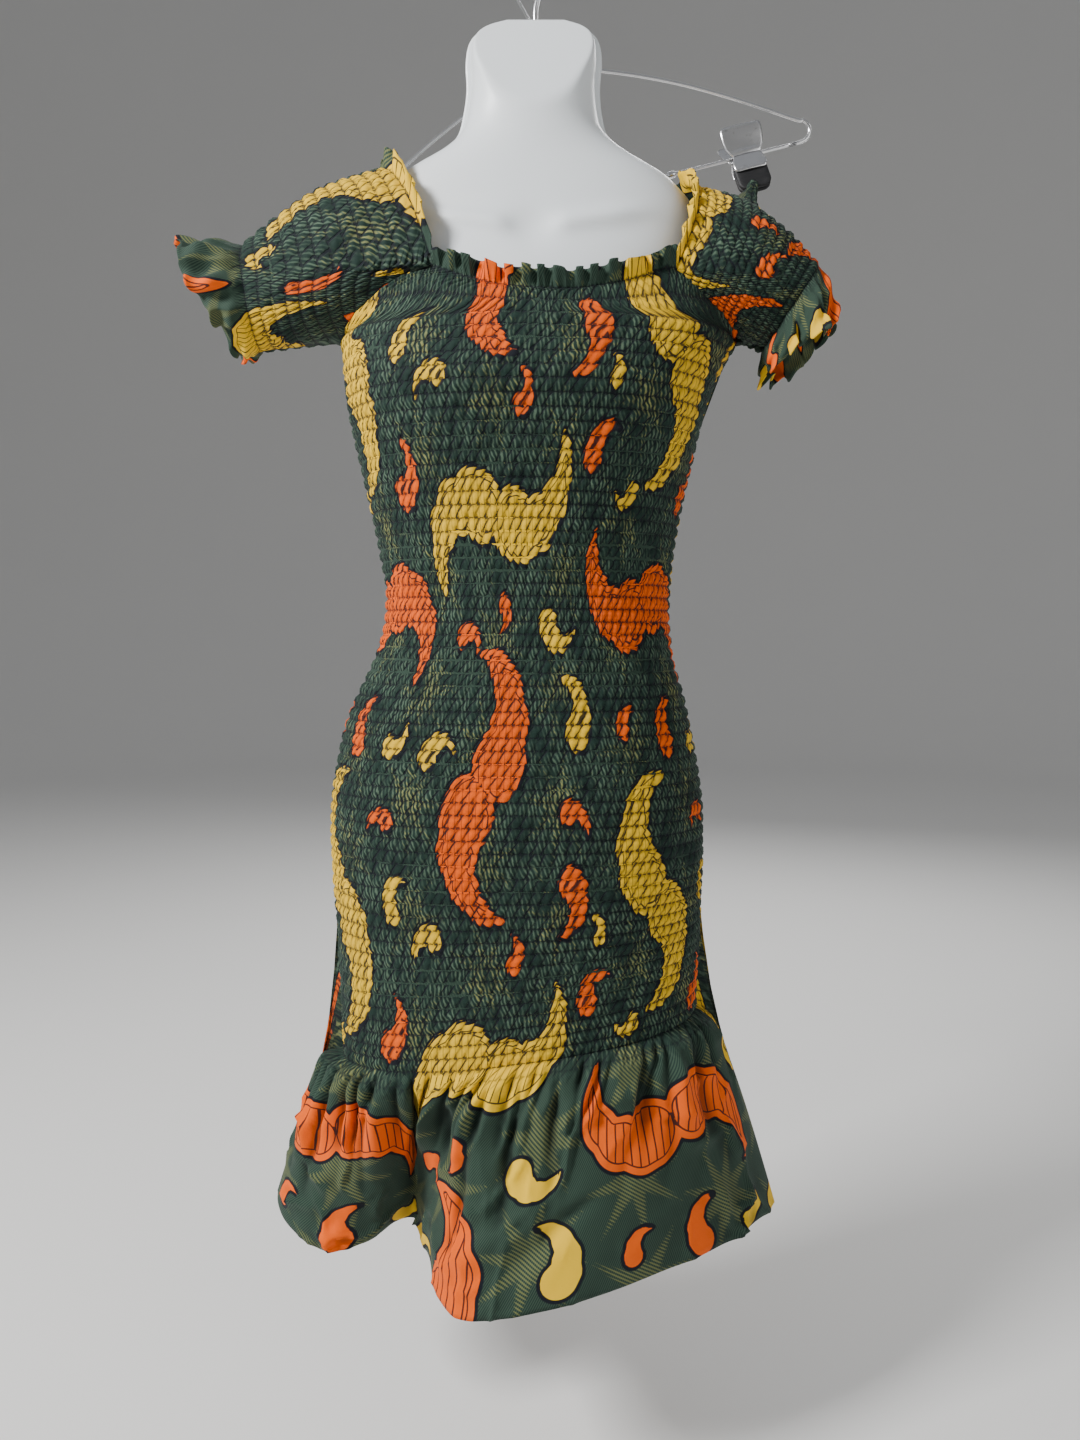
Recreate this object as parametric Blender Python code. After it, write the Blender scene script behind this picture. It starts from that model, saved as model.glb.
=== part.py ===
"""Shirred off-shoulder mini dress on a hanging half-body form, with its wire clip hanger.

Metres, +Z up, +X to the viewer's right, the front of the dress faces -Y. The origin is the
rail on which both hooks hang. The dress is four cut pieces, each a closed thin wall: front,
back and two raglan sleeves. Rows of elastic gather all of it down to the plain flounce.
"""
from collections import namedtuple
from math import acos, atan2, cos, exp, pi, sin

import bmesh
import bpy
from mathutils import Matrix, Vector

# Cloth
CLOTH = 0.0015
PUCKER = 0.0020
ROW_PITCH = 0.0095
SEAM_GAP = 0.0004
SIDE_GAP = 0.0003

# Levels of the dress, at the middle of a panel
FRONT_NECKLINE_Z = -0.322
BACK_NECKLINE_Z = -0.300
UNDERARM_Z = -0.342
FLOUNCE_Z = -0.962
PANEL_COLUMNS = 12
RAGLAN_STEPS = 8

# Plain inside: levels close together at the waist, wider apart where the body is straighter
LiningRun = namedtuple("LiningRun", "top_z end_z steps")
LINING = (
    LiningRun(UNDERARM_Z, -0.460, 5),
    LiningRun(-0.460, -0.740, 14),
    LiningRun(-0.740, FLOUNCE_Z, 5),
)

# The neckline rises towards its corners, and the last elastic row slopes
CORNER_RISE = 0.024
CORNER_REACH = 0.095
NECK_MIDDLE = 0.020
END_SLOPE = 0.13
SLOPE_STARTS_Z = -0.780
BACK_ROUND = 4.0

# Standing frill above the top elastic
FRILL_HEIGHT = 0.012
FRILL_LEAN = 0.004
FRILL_WAVE = 0.0024
FRILL_COLUMNS = 22

# Flounce
FLOUNCE_COLUMNS = 34
FLOUNCE_STEPS = 7
FLOUNCE_WALL = 0.0015
GATHER = 0.0028

# Inner face of the dress: half width, middle, depth of front and back, squareness
BodyRow = namedtuple("BodyRow", "z half middle front back square")
BODY = (
    BodyRow(-1.010, 0.1630, -0.0060, 0.0970, 0.016, 2.3),
    BodyRow(-0.938, 0.1628, -0.0085, 0.0980, 0.016, 2.3),
    BodyRow(-0.862, 0.1648, -0.0090, 0.1020, 0.016, 2.3),
    BodyRow(-0.800, 0.1680, -0.0100, 0.1050, 0.016, 2.3),
    BodyRow(-0.750, 0.1666, -0.0100, 0.1050, 0.015, 2.3),
    BodyRow(-0.695, 0.1577, -0.0090, 0.1010, 0.014, 2.3),
    BodyRow(-0.658, 0.1474, -0.0070, 0.0970, 0.013, 2.3),
    BodyRow(-0.622, 0.1332, -0.0035, 0.0920, 0.012, 2.3),
    BodyRow(-0.590, 0.1262, -0.0010, 0.0875, 0.012, 2.3),
    BodyRow(-0.560, 0.1257, 0.0000, 0.0860, 0.012, 2.3),
    BodyRow(-0.532, 0.1292, -0.0010, 0.0880, 0.012, 2.3),
    BodyRow(-0.497, 0.1347, -0.0020, 0.0930, 0.012, 2.4),
    BodyRow(-0.461, 0.1421, -0.0015, 0.1010, 0.012, 2.5),
    BodyRow(-0.426, 0.1497, -0.0010, 0.1100, 0.012, 2.6),
    BodyRow(-0.391, 0.1577, 0.0010, 0.1160, 0.012, 2.6),
    BodyRow(-0.357, 0.1670, 0.0075, 0.1080, 0.012, 2.5),
    BodyRow(-0.345, 0.1712, 0.0095, 0.1040, 0.012, 2.4),
    BodyRow(-0.310, 0.1720, 0.0105, 0.0880, 0.012, 2.3),
    BodyRow(-0.270, 0.1680, 0.0105, 0.0740, 0.012, 2.3),
)

# How far out the neckline's corners lie, as a share of the half width, and the raglan's curve
Raglan = namedtuple("Raglan", "left right left_curve right_curve")
FRONT_RAGLAN = Raglan(0.51, 0.66, 0.62, 1.00)
BACK_RAGLAN = Raglan(0.60, 0.62, 0.80, 0.80)

# Hem of the flounce, a row for each lobe and fold; across runs from the left seam to the right
HemRow = namedtuple("HemRow", "across x y z")
FRONT_HEM = (
    HemRow(0.00, -0.238, 0.000, -1.128),
    HemRow(0.08, -0.222, -0.040, -1.134),
    HemRow(0.16, -0.186, -0.064, -1.146),
    HemRow(0.23, -0.150, -0.064, -1.141),
    HemRow(0.29, -0.122, -0.040, -1.134),
    HemRow(0.34, -0.105, -0.010, -1.150),
    HemRow(0.40, -0.090, -0.048, -1.158),
    HemRow(0.46, -0.079, -0.108, -1.152),
    HemRow(0.52, -0.056, -0.144, -1.158),
    HemRow(0.62, -0.004, -0.156, -1.147),
    HemRow(0.72, 0.052, -0.148, -1.138),
    HemRow(0.83, 0.140, -0.106, -1.131),
    HemRow(0.92, 0.196, -0.054, -1.134),
    HemRow(1.00, 0.234, 0.000, -1.140),
)
BACK_HEM = (
    HemRow(0.00, -0.238, 0.000, -1.128),
    HemRow(0.11, -0.210, 0.040, -1.138),
    HemRow(0.22, -0.160, 0.060, -1.148),
    HemRow(0.32, -0.116, 0.036, -1.146),
    HemRow(0.43, -0.064, 0.064, -1.152),
    HemRow(0.53, -0.008, 0.052, -1.152),
    HemRow(0.61, 0.034, 0.032, -1.148),
    HemRow(0.71, 0.084, 0.066, -1.152),
    HemRow(0.81, 0.134, 0.046, -1.146),
    HemRow(0.91, 0.192, 0.044, -1.144),
    HemRow(1.00, 0.234, 0.000, -1.140),
)

# Sleeves: the arch of the neckline over the shoulder, then the cuff's ring and its frill
Sleeve = namedtuple(
    "Sleeve", "name end top arch_front arch_back cuff cuff_up cuff_fore frill_way frill_slant "
    "flare bulge top_length under_length pinch")
SLEEVES = (
    Sleeve("sleeve_left", 0.0, Vector((-0.133, 0.002, -0.191)),
           Vector((-0.102, -0.070, -0.208)), Vector((-0.104, 0.026, -0.214)),
           Vector((-0.241, -0.012, -0.304)), Vector((-0.005, 0.000, 0.043)),
           Vector((0.000, -0.032, 0.000)), Vector((-0.056, 0.000, -0.002)), 0.66,
           0.006, 0.010, 0.130, 0.066, None),
    Sleeve("sleeve_right", 1.0, Vector((0.142, 0.004, -0.203)),
           Vector((0.156, -0.066, -0.228)), Vector((0.126, 0.026, -0.226)),
           Vector((0.2260, -0.032, -0.3200)), Vector((0.0200, 0.000, 0.0300)),
           Vector((0.004, -0.033, 0.008)), Vector((0.009, -0.018, -0.056)), 0.62,
           0.004, 0.014, 0.150, 0.042, Vector((0.2066, 0.0166, -0.1840))),
)
SEAM_SHARE = 0.27
SLEEVE_COLUMNS = 18
PINCH_PULL = 0.85
PINCH_AROUND = 0.57
PINCH_ALONG = 0.50
PINCH_SPREAD_AROUND = 0.055
PINCH_SPREAD_ALONG = 0.13
UNDERARM_CURL = 0.005
CURL_SHARE = 0.14
CUFF_WAVES = 7
CUFF_WAVE_DEPTH = 0.008
CUFF_STEPS = 3

# Half-body form: outer face above the bust, below it follows the inside of the dress
FORM_WALL = 0.003
FORM_CLEARANCE = 0.0007
FORM_EDGE_Y = -0.0010
FORM_END_Z = -0.934
FORM_JOINS_DRESS_Z = -0.420
FormRow = namedtuple("FormRow", "z half middle front square")
FORM_TOP = (
    FormRow(-0.391, 0.1555, 0.0010, 0.1135, 2.5),
    FormRow(-0.345, 0.1560, 0.0040, 0.0985, 2.3),
    FormRow(-0.305, 0.1570, 0.0050, 0.0820, 2.2),
    FormRow(-0.270, 0.1565, 0.0055, 0.0680, 2.2),
    FormRow(-0.240, 0.1515, 0.0060, 0.0585, 2.2),
    FormRow(-0.218, 0.1395, 0.0045, 0.0530, 2.3),
    FormRow(-0.202, 0.1240, 0.0050, 0.0500, 2.2),
    FormRow(-0.192, 0.1085, 0.0045, 0.0485, 2.1),
    FormRow(-0.182, 0.0895, 0.0050, 0.0475, 2.1),
    FormRow(-0.173, 0.0765, 0.0050, 0.0470, 2.1),
    FormRow(-0.162, 0.0660, 0.0045, 0.0465, 2.2),
    FormRow(-0.148, 0.0615, 0.0045, 0.0440, 2.4),
    FormRow(-0.125, 0.0585, 0.0050, 0.0330, 2.8),
    FormRow(-0.100, 0.0595, 0.0055, 0.0210, 3.2),
    FormRow(-0.083, 0.0560, 0.0060, 0.0125, 3.2),
    FormRow(-0.073, 0.0460, 0.0065, 0.0080, 3.0),
    FormRow(-0.067, 0.0300, 0.0070, 0.0050, 2.6),
)

# Hooks and the wire clip hanger; its frame lies tilted behind the shoulders
HOOK_BOWL = 0.0215
FORM_HOOK_WIRE = 0.0045
HANGER_WIRE = 0.0032
HANGER_Y = 0.0300
HANGER_HOOK_Y = 0.0060
HANGER_APEX = Vector((0.011, HANGER_Y, -0.087))
HANGER_TILT = 0.239
HANGER_HALF = 0.225
HANGER_BAR_DROP = 0.120
HANGER_END_RADIUS = 0.010
HANGER_ARM_BOW = 0.011
Clip = namedtuple("Clip", "name along_bar")
CLIPS = (Clip("clip_left", -0.1040), Clip("clip_right", 0.163))
CLIP_LEAN = 0.36
CLIP_WIDTH = 0.038
CLIP_LEVER = 0.024
CLIP_JAW = 0.018
PAD_WIDTH = 0.030
PAD_HEIGHT = 0.020
PAD_DEPTH = 0.0080
TOUCH_GAP = 0.0003


# Reading the tables


def at(rows, key):
    """The row of a table at a key, on a smooth curve through the rows."""
    last = len(rows) - 2
    index = 0
    while index < last and key > rows[index + 1][0]:
        index += 1
    before = rows[max(index - 1, 0)]
    low = rows[index]
    high = rows[index + 1]
    after = rows[min(index + 2, len(rows) - 1)]
    span = high[0] - low[0]
    t = min(max((key - low[0]) / span, 0.0), 1.0)
    values = [key]
    for column in range(1, len(low)):
        slope_low = (high[column] - before[column]) / (high[0] - before[0]) * span
        slope_high = (after[column] - low[column]) / (after[0] - low[0]) * span
        values.append(
            (2 * t ** 3 - 3 * t ** 2 + 1) * low[column] + (t ** 3 - 2 * t ** 2 + t) * slope_low
            + (3 * t ** 2 - 2 * t ** 3) * high[column] + (t ** 3 - t ** 2) * slope_high)
    return type(low)(*values)


def mix(start, stop, share):
    return start + (stop - start) * share


def ease(share):
    share = min(max(share, 0.0), 1.0)
    return share * share * (3 - 2 * share)


# The dress as curved surfaces


def body_point(side, z, turn, off):
    """A point of the body at height z; turn runs 0 to pi from left seam to right seam."""
    row = at(BODY, z)
    depth = row.front if side < 0 else row.back
    power = row.square if side < 0 else BACK_ROUND
    swing = cos(turn)
    reach = max(0.0, 1 - abs(swing) ** power) ** (1 / power)
    return Vector((row.middle - (row.half + off) * swing,
                   side * (SIDE_GAP / 2 + (depth + off) * reach), z))


def neckline_z(side):
    return FRONT_NECKLINE_Z if side < 0 else BACK_NECKLINE_Z


def raglan_turns(side, drop):
    """Where a row starts and ends; drop is 0 at the neckline and 1 at the underarm."""
    raglan = FRONT_RAGLAN if side < 0 else BACK_RAGLAN
    left = mix(raglan.left, 1.0, drop ** raglan.left_curve)
    right = mix(raglan.right, 1.0, drop ** raglan.right_curve)
    return acos(min(left, 1.0)), pi - acos(min(right, 1.0))


def panel_point(side, z, across, off):
    """A point of the front (side -1) or the back (side 1), from the neckline down."""
    neckline = neckline_z(side)
    drop = min(max((neckline - z) / (neckline - UNDERARM_Z), 0.0), 1.0)
    start, stop = raglan_turns(side, drop)
    turn = mix(start, stop, across)
    x = body_point(side, z, turn, 0.0).x
    rise = CORNER_RISE * min(1.0, ((x - NECK_MIDDLE) / CORNER_REACH) ** 2) * (1 - drop)
    slope = END_SLOPE * x * ease((z - SLOPE_STARTS_Z) / (FLOUNCE_Z - SLOPE_STARTS_Z))
    return body_point(side, z + rise + slope, turn, off)


def frill_point(side, height, across, off, wave):
    """The frill above the top elastic of a panel, with wave -1 to 1 for its ripple."""
    share = height / FRILL_HEIGHT
    ripple = wave * FRILL_WAVE * share * sin(pi * across) ** 0.5
    point = panel_point(side, neckline_z(side), across, off + ripple)
    return point + Vector((0, side * FRILL_LEAN * share, height))


def flounce_row(side, share, wall):
    """One level of the flounce, from the last elastic (share 0) to the hem (share 1)."""
    hem = FRONT_HEM if side < 0 else BACK_HEM
    middle_line = []
    for column in range(FLOUNCE_COLUMNS + 1):
        across = column / FLOUNCE_COLUMNS
        gathered = panel_point(side, FLOUNCE_Z, across, 0.0)
        free = at(hem, across)
        spread = share ** 0.8
        free_y = free.y + side * SIDE_GAP / 2
        edge = 0 < column < FLOUNCE_COLUMNS
        ripple = GATHER * (1 - share) ** 1.2 * (1 if column % 2 else -0.4) * edge
        middle_line.append(Vector((mix(gathered.x, free.x, spread),
                                   mix(gathered.y, free_y, spread) + side * ripple,
                                   mix(gathered.z, free.z, share))))
    row = []
    for column, point in enumerate(middle_line):
        if column in (0, FLOUNCE_COLUMNS):
            outward = Vector((-1 if column == 0 else 1, 0, 0))
        else:
            run = middle_line[column + 1] - middle_line[column - 1]
            outward = Vector((run.y, -run.x, 0)).normalized() * -side
        row.append((column / FLOUNCE_COLUMNS, point + outward * wall))
    return row


def shirred_row(side, level, z):
    """A level of the outer face: even levels are pinched in by elastic, odd ones stand out."""
    row = []
    for column in range(PANEL_COLUMNS + 1):
        across = column / PANEL_COLUMNS
        seam = column in (0, PANEL_COLUMNS)
        stand = (0.55, 1.0)[(column + level // 2) % 2] if level % 2 and not seam else 0.0
        row.append((across, panel_point(side, z, across, CLOTH + PUCKER * stand)))
    return row


def frill_rows(side, off):
    rows = []
    for share in (1.0, 0.5):
        rows.append([(column / FRILL_COLUMNS,
                      frill_point(side, FRILL_HEIGHT * share, column / FRILL_COLUMNS, off,
                                  1 if column % 2 else -1))
                     for column in range(FRILL_COLUMNS + 1)])
    return rows


def raglan_levels(side):
    return [mix(neckline_z(side), UNDERARM_Z, step / RAGLAN_STEPS)
            for step in range(RAGLAN_STEPS)]


def lining_levels():
    levels = [mix(run.top_z, run.end_z, step / run.steps)
              for run in LINING for step in range(run.steps)]
    return levels + [FLOUNCE_Z]


def make_panel(name, side, material):
    """Front or back with its frill and flounce, gathered outside over a plain inside."""
    steps = 2 * round((UNDERARM_Z - FLOUNCE_Z) / ROW_PITCH)
    outer_levels = raglan_levels(side)
    outer_levels += [mix(UNDERARM_Z, FLOUNCE_Z, step / steps) for step in range(steps + 1)]
    shares = [(step + 1) / FLOUNCE_STEPS for step in range(FLOUNCE_STEPS)]
    outer = frill_rows(side, CLOTH)
    outer += [shirred_row(side, level, z) for level, z in enumerate(outer_levels)]
    outer += [flounce_row(side, share, FLOUNCE_WALL) for share in shares]
    inner = frill_rows(side, 0.0)
    for z in raglan_levels(side) + lining_levels():
        inner.append([(column / PANEL_COLUMNS,
                       panel_point(side, z, column / PANEL_COLUMNS, 0.0))
                      for column in range(PANEL_COLUMNS + 1)])
    inner += [flounce_row(side, share, 0.0) for share in shares]
    return make_wall(name, outer, inner, material)


# Sleeves


def seam_point(sleeve, side, drop, off):
    """A point of the raglan seam on the sleeve's side of the gap."""
    neckline = neckline_z(side)
    z = mix(neckline, UNDERARM_Z, drop)
    point = panel_point(side, z, sleeve.end, off)
    if drop == 1.0:
        return Vector((point.x, 0.0, point.z + SEAM_GAP))
    inside = panel_point(side, z, sleeve.end, 0.0)
    beside = panel_point(side, mix(neckline, UNDERARM_Z, drop + 0.02), sleeve.end, 0.0)
    outward = panel_point(side, z, sleeve.end, CLOTH) - inside
    away = (beside - inside).cross(outward).normalized()
    if away.z < 0:
        away.negate()
    return point + away * SEAM_GAP


def arch_point(sleeve, share, off):
    """The neckline edge of a sleeve, from the front corner over the shoulder to the back."""
    front = share < 0.5
    side = -1 if front else 1
    corner = seam_point(sleeve, side, 0.0, 0.0)
    bend = sleeve.arch_front if front else sleeve.arch_back
    t = share * 2 if front else (1 - share) * 2
    point = corner * (1 - t) ** 2 + bend * 2 * t * (1 - t) + sleeve.top * t ** 2
    at_corner = seam_point(sleeve, side, 0.0, off) - corner
    over_top = Vector((0, 0, off))
    return point + at_corner * (1 - t) ** 2 + Vector((0, side * off, off)) * t * (1 - t) \
        + over_top * t ** 2


def armhole_point(sleeve, around, off):
    """Inner ring of a sleeve: underarm, front seam, neckline arch, back seam, underarm."""
    if around < SEAM_SHARE:
        return seam_point(sleeve, -1, 1 - around / SEAM_SHARE, off)
    if around > 1 - SEAM_SHARE:
        return seam_point(sleeve, 1, 1 - (1 - around) / SEAM_SHARE, off)
    return arch_point(sleeve, (around - SEAM_SHARE) / (1 - 2 * SEAM_SHARE), off)


def cuff_point(sleeve, around, off):
    angle = 2 * pi * around
    up = sleeve.cuff_up
    fore = sleeve.cuff_fore
    return sleeve.cuff - (up + up.normalized() * off) * cos(angle) \
        + (fore + fore.normalized() * off) * sin(angle)


def sleeve_point(sleeve, around, along, off):
    """A point of the sleeve; along is 0 at the armhole ring and 1 at the last elastic."""
    start = armhole_point(sleeve, around, 0.0)
    at_start = armhole_point(sleeve, around, off) - start
    stop = cuff_point(sleeve, around, 0.0)
    at_stop = cuff_point(sleeve, around, off) - stop
    angle = 2 * pi * around
    swell = sleeve.bulge * sin(pi * along) * sin(pi * around) ** 2
    near_underarm = max(0.0, 1 - min(around, 1 - around) / SEAM_SHARE)
    turned = ease(along / CURL_SHARE)
    curl = UNDERARM_CURL * near_underarm * turned * (1 - along)
    outward = at_start.lerp(at_stop, turned)
    if off:
        outward = outward.normalized() * off
    point = start.lerp(stop, along) + Vector((0, -sin(angle), -cos(angle))) * swell \
        + Vector((0, 0, curl)) + (outward if along > 0 else at_start)
    if sleeve.pinch:
        near = exp(-((around - PINCH_AROUND) / PINCH_SPREAD_AROUND) ** 2
                   - ((along - PINCH_ALONG) / PINCH_SPREAD_ALONG) ** 2)
        point = point.lerp(sleeve.pinch, near * PINCH_PULL)
    return point


def sleeve_length(sleeve, around):
    """Length of the shirred part, short below the arm and longest along the neckline."""
    share = min(min(around, 1 - around) / SEAM_SHARE, 1.0)
    return mix(sleeve.under_length, sleeve.top_length, share)


def sleeve_row(sleeve, distance, off_at):
    """A row at one distance from the last elastic, from seam to seam or all round."""
    share = (distance - sleeve.under_length) / (sleeve.top_length - sleeve.under_length)
    start = SEAM_SHARE * min(max(share, 0.0), 1.0)
    columns = round(SLEEVE_COLUMNS * (1 - 2 * start))
    row = []
    for column in range(columns + 1):
        around = mix(start, 1 - start, column / columns)
        along = max(0.0, 1 - distance / sleeve_length(sleeve, around))
        at_seam = share >= 0 and column in (0, columns)
        off = off_at(column, at_seam)
        row.append((around, sleeve_point(sleeve, around, along, off)))
    return row


def sleeve_frill(sleeve, off):
    """The frill along the sleeve's neckline edge."""
    rows = []
    for share in (1.0, 0.5):
        row = []
        for column in range(FRILL_COLUMNS + 1):
            arch = column / FRILL_COLUMNS
            around = mix(SEAM_SHARE, 1 - SEAM_SHARE, arch)
            base = arch_point(sleeve, arch, off)
            side = -1 if arch < 0.5 else 1
            inward = arch_point(sleeve, arch, off) - sleeve_point(sleeve, around, 0.15, off)
            corner_lift = Vector((0, side * FRILL_LEAN, FRILL_HEIGHT))
            middle_lift = (inward.normalized() * 0.35 + Vector((0, 0, 0.9))) * FRILL_HEIGHT
            lift = corner_lift.lerp(middle_lift, ease(4 * min(arch, 1 - arch)))
            wave = FRILL_WAVE * share * (1 if column % 2 else -1) * sin(pi * arch) ** 0.5
            row.append((around, base + lift * share + Vector((0, side * wave * 0.5, wave))))
        rows.append(row)
    return rows


def cuff_frill(sleeve, off):
    """The plain frill past the last elastic, rippled and flared."""
    columns = 4 * CUFF_WAVES
    rows = []
    for step in range(1, CUFF_STEPS + 1):
        share = step / CUFF_STEPS
        row = []
        for column in range(columns + 1):
            around = column / columns
            ring = cuff_point(sleeve, around, off)
            radial = (ring - sleeve.cuff).normalized()
            wave = CUFF_WAVE_DEPTH * share * sin(2 * pi * CUFF_WAVES * around + 0.6)
            slant = 1 - sleeve.frill_slant * ((1 + cos(2 * pi * around)) / 2) ** 1.5
            point = ring + sleeve.frill_way * share * slant
            row.append((around, point + radial * (sleeve.flare * share + wave)))
        rows.append(row)
    return rows


def make_sleeve(sleeve, material):
    raglan = [mix(sleeve.top_length, sleeve.under_length, step / RAGLAN_STEPS)
              for step in range(RAGLAN_STEPS)]
    tube_steps = 2 * round(sleeve.under_length / ROW_PITCH)
    tube = [sleeve.under_length * (1 - step / tube_steps) for step in range(tube_steps + 1)]
    outer_levels = raglan + tube
    inner_levels = raglan + tube[::2]
    outer = sleeve_frill(sleeve, CLOTH)
    for level, distance in enumerate(outer_levels):
        def raised(column, at_seam, level=level):
            if at_seam or level % 2 == 0:
                return CLOTH
            return CLOTH + PUCKER * (0.55, 1.0)[(column + level // 2) % 2]
        outer.append(sleeve_row(sleeve, distance, raised))
    inner = sleeve_frill(sleeve, 0.0)
    for distance in inner_levels:
        inner.append(sleeve_row(sleeve, distance, lambda column, at_seam: 0.0))
    closed_from = len(sleeve_frill(sleeve, 0.0)) + RAGLAN_STEPS
    outer += cuff_frill(sleeve, CLOTH)
    inner += cuff_frill(sleeve, 0.0)
    return make_wall(sleeve.name, outer, inner, material, closed_from)


# Building closed walls


def zip_rows(mesh, first, second):
    """Fill between two rows of (place, vertex) with triangles, in the order of the places."""
    i = 0
    j = 0
    while i < len(first) - 1 or j < len(second) - 1:
        step_first = j == len(second) - 1
        if i < len(first) - 1 and not step_first:
            step_first = first[i + 1][0] <= second[j + 1][0]
        if step_first:
            corners = (first[i][1], first[i + 1][1], second[j][1])
            i += 1
        else:
            corners = (first[i][1], second[j + 1][1], second[j][1])
            j += 1
        if len(set(corners)) == 3:
            mesh.faces.new(corners)


def make_wall(name, outer, inner, material, closed_from=None):
    """A closed wall between outer and inner rows; rows from closed_from on are rings."""
    mesh = bmesh.new()
    faces = []
    for rows in (outer, inner):
        made = []
        for index, row in enumerate(rows):
            ring = closed_from is not None and index >= closed_from
            places = row[:-1] if ring else row
            made_row = [(place, mesh.verts.new(point)) for place, point in places]
            if ring:
                made_row.append((row[-1][0], made_row[0][1]))
            made.append(made_row)
        for above, below in zip(made, made[1:]):
            zip_rows(mesh, above, below)
        faces.append(made)
    outer_rows, inner_rows = faces
    zip_rows(mesh, outer_rows[0], inner_rows[0])
    zip_rows(mesh, outer_rows[-1], inner_rows[-1])
    for end in (0, -1):
        chains = []
        for rows in (outer_rows, inner_rows):
            open_rows = rows if closed_from is None else rows[:closed_from + 1]
            chains.append([(-row[end][1].co.z if closed_from is None else index,
                            row[end][1]) for index, row in enumerate(open_rows)])
        zip_rows(mesh, chains[0], chains[1])
    bmesh.ops.recalc_face_normals(mesh, faces=mesh.faces)
    return add_object(name, mesh, material)


def add_object(name, mesh, material):
    data = bpy.data.meshes.new(name)
    mesh.to_mesh(data)
    mesh.free()
    data.materials.append(material)
    data.shade_smooth()
    made = bpy.data.objects.new(name, data)
    bpy.context.collection.objects.link(made)
    return made


# Form


def form_point(z, turn, wall):
    """A point of the form's outer face (wall 0) or of its hollow (wall FORM_WALL)."""
    if z < FORM_JOINS_DRESS_Z:
        body = at(BODY, z)
        row = FormRow(z, body.half - FORM_CLEARANCE, body.middle,
                      body.front - FORM_CLEARANCE, body.square)
    else:
        row = at(FORM_TOP, z)
    swing = cos(turn)
    reach = max(0.0, 1 - abs(swing) ** row.square) ** (1 / row.square)
    lower = wall * ease((z + 0.34) / 0.10)
    return Vector((row.middle - (row.half - wall) * swing,
                   FORM_EDGE_Y - max(row.front + FORM_EDGE_Y - wall, 0.0015) * reach,
                   z - lower))


def make_form(material):
    """Smooth shell, open at the back, from the slanted neck plate to below the hips."""
    levels = [row.z for row in reversed(FORM_TOP)]
    levels += [z for z in lining_levels() if FORM_END_Z < z < FORM_JOINS_DRESS_Z]
    levels.append(FORM_END_Z)
    walls = []
    for wall in (0.0, FORM_WALL):
        rows = []
        for z in levels:
            rows.append([(column / PANEL_COLUMNS,
                          form_point(z, pi * column / PANEL_COLUMNS, wall))
                         for column in range(PANEL_COLUMNS + 1)])
        walls.append(rows)
    return make_wall("form_shell", walls[0], walls[1], material)


# Wire and clips


def sweep(name, path, radius, sides, material, closed=False):
    """A round wire along points, with flat ends unless it is closed."""
    mesh = bmesh.new()
    count = len(path)
    rings = []
    side_way = Vector((0, 1, 0))
    for index, point in enumerate(path):
        before = path[index - 1] if closed or index else point
        after = path[(index + 1) % count] if closed or index < count - 1 else point
        run = (after - before).normalized()
        across = (side_way - run * side_way.dot(run)).normalized()
        up = run.cross(across)
        rings.append([mesh.verts.new(point + (across * cos(2 * pi * s / sides)
                                              + up * sin(2 * pi * s / sides)) * radius)
                      for s in range(sides)])
    pairs = list(zip(rings, rings[1:]))
    if closed:
        pairs.append((rings[-1], rings[0]))
    for first, second in pairs:
        for s in range(sides):
            t = (s + 1) % sides
            mesh.faces.new((first[s], first[t], second[t], second[s]))
    if not closed:
        mesh.faces.new(rings[0])
        mesh.faces.new(reversed(rings[-1]))
    bmesh.ops.recalc_face_normals(mesh, faces=mesh.faces)
    return add_object(name, mesh, material)


def hook_path(foot, hand, y, wire):
    """A hook over the origin: hand 1 bulges to the right and opens on the left."""
    centre = Vector((0, y, -HOOK_BOWL + wire / 2))
    path = [foot]
    for step in range(13):
        angle = -0.30 * pi + 1.25 * pi * step / 12
        path.append(centre + Vector((hand * cos(angle), 0, sin(angle))) * HOOK_BOWL)
    lip = path[-1] - path[-2]
    path.append(path[-1] + lip.normalized() * 0.004 + Vector((-hand * 0.002, 0, 0)))
    return path


def make_form_hook(material):
    row = FORM_TOP[-1]
    y = FORM_EDGE_Y - FORM_HOOK_WIRE / 2
    foot = Vector((row.middle, y, row.z + TOUCH_GAP))
    path = hook_path(foot, 1, y, FORM_HOOK_WIRE)
    path.insert(1, foot + Vector((0.0005, 0, 0.012)))
    return sweep("form_hook", path, FORM_HOOK_WIRE / 2, 8, material)


def hanger_place(x, z):
    """A place in the hanger's own frame, level before it was hung askew."""
    turned = Matrix.Rotation(-HANGER_TILT, 3, "Y") @ Vector((x, 0, z))
    return HANGER_APEX + turned


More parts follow.
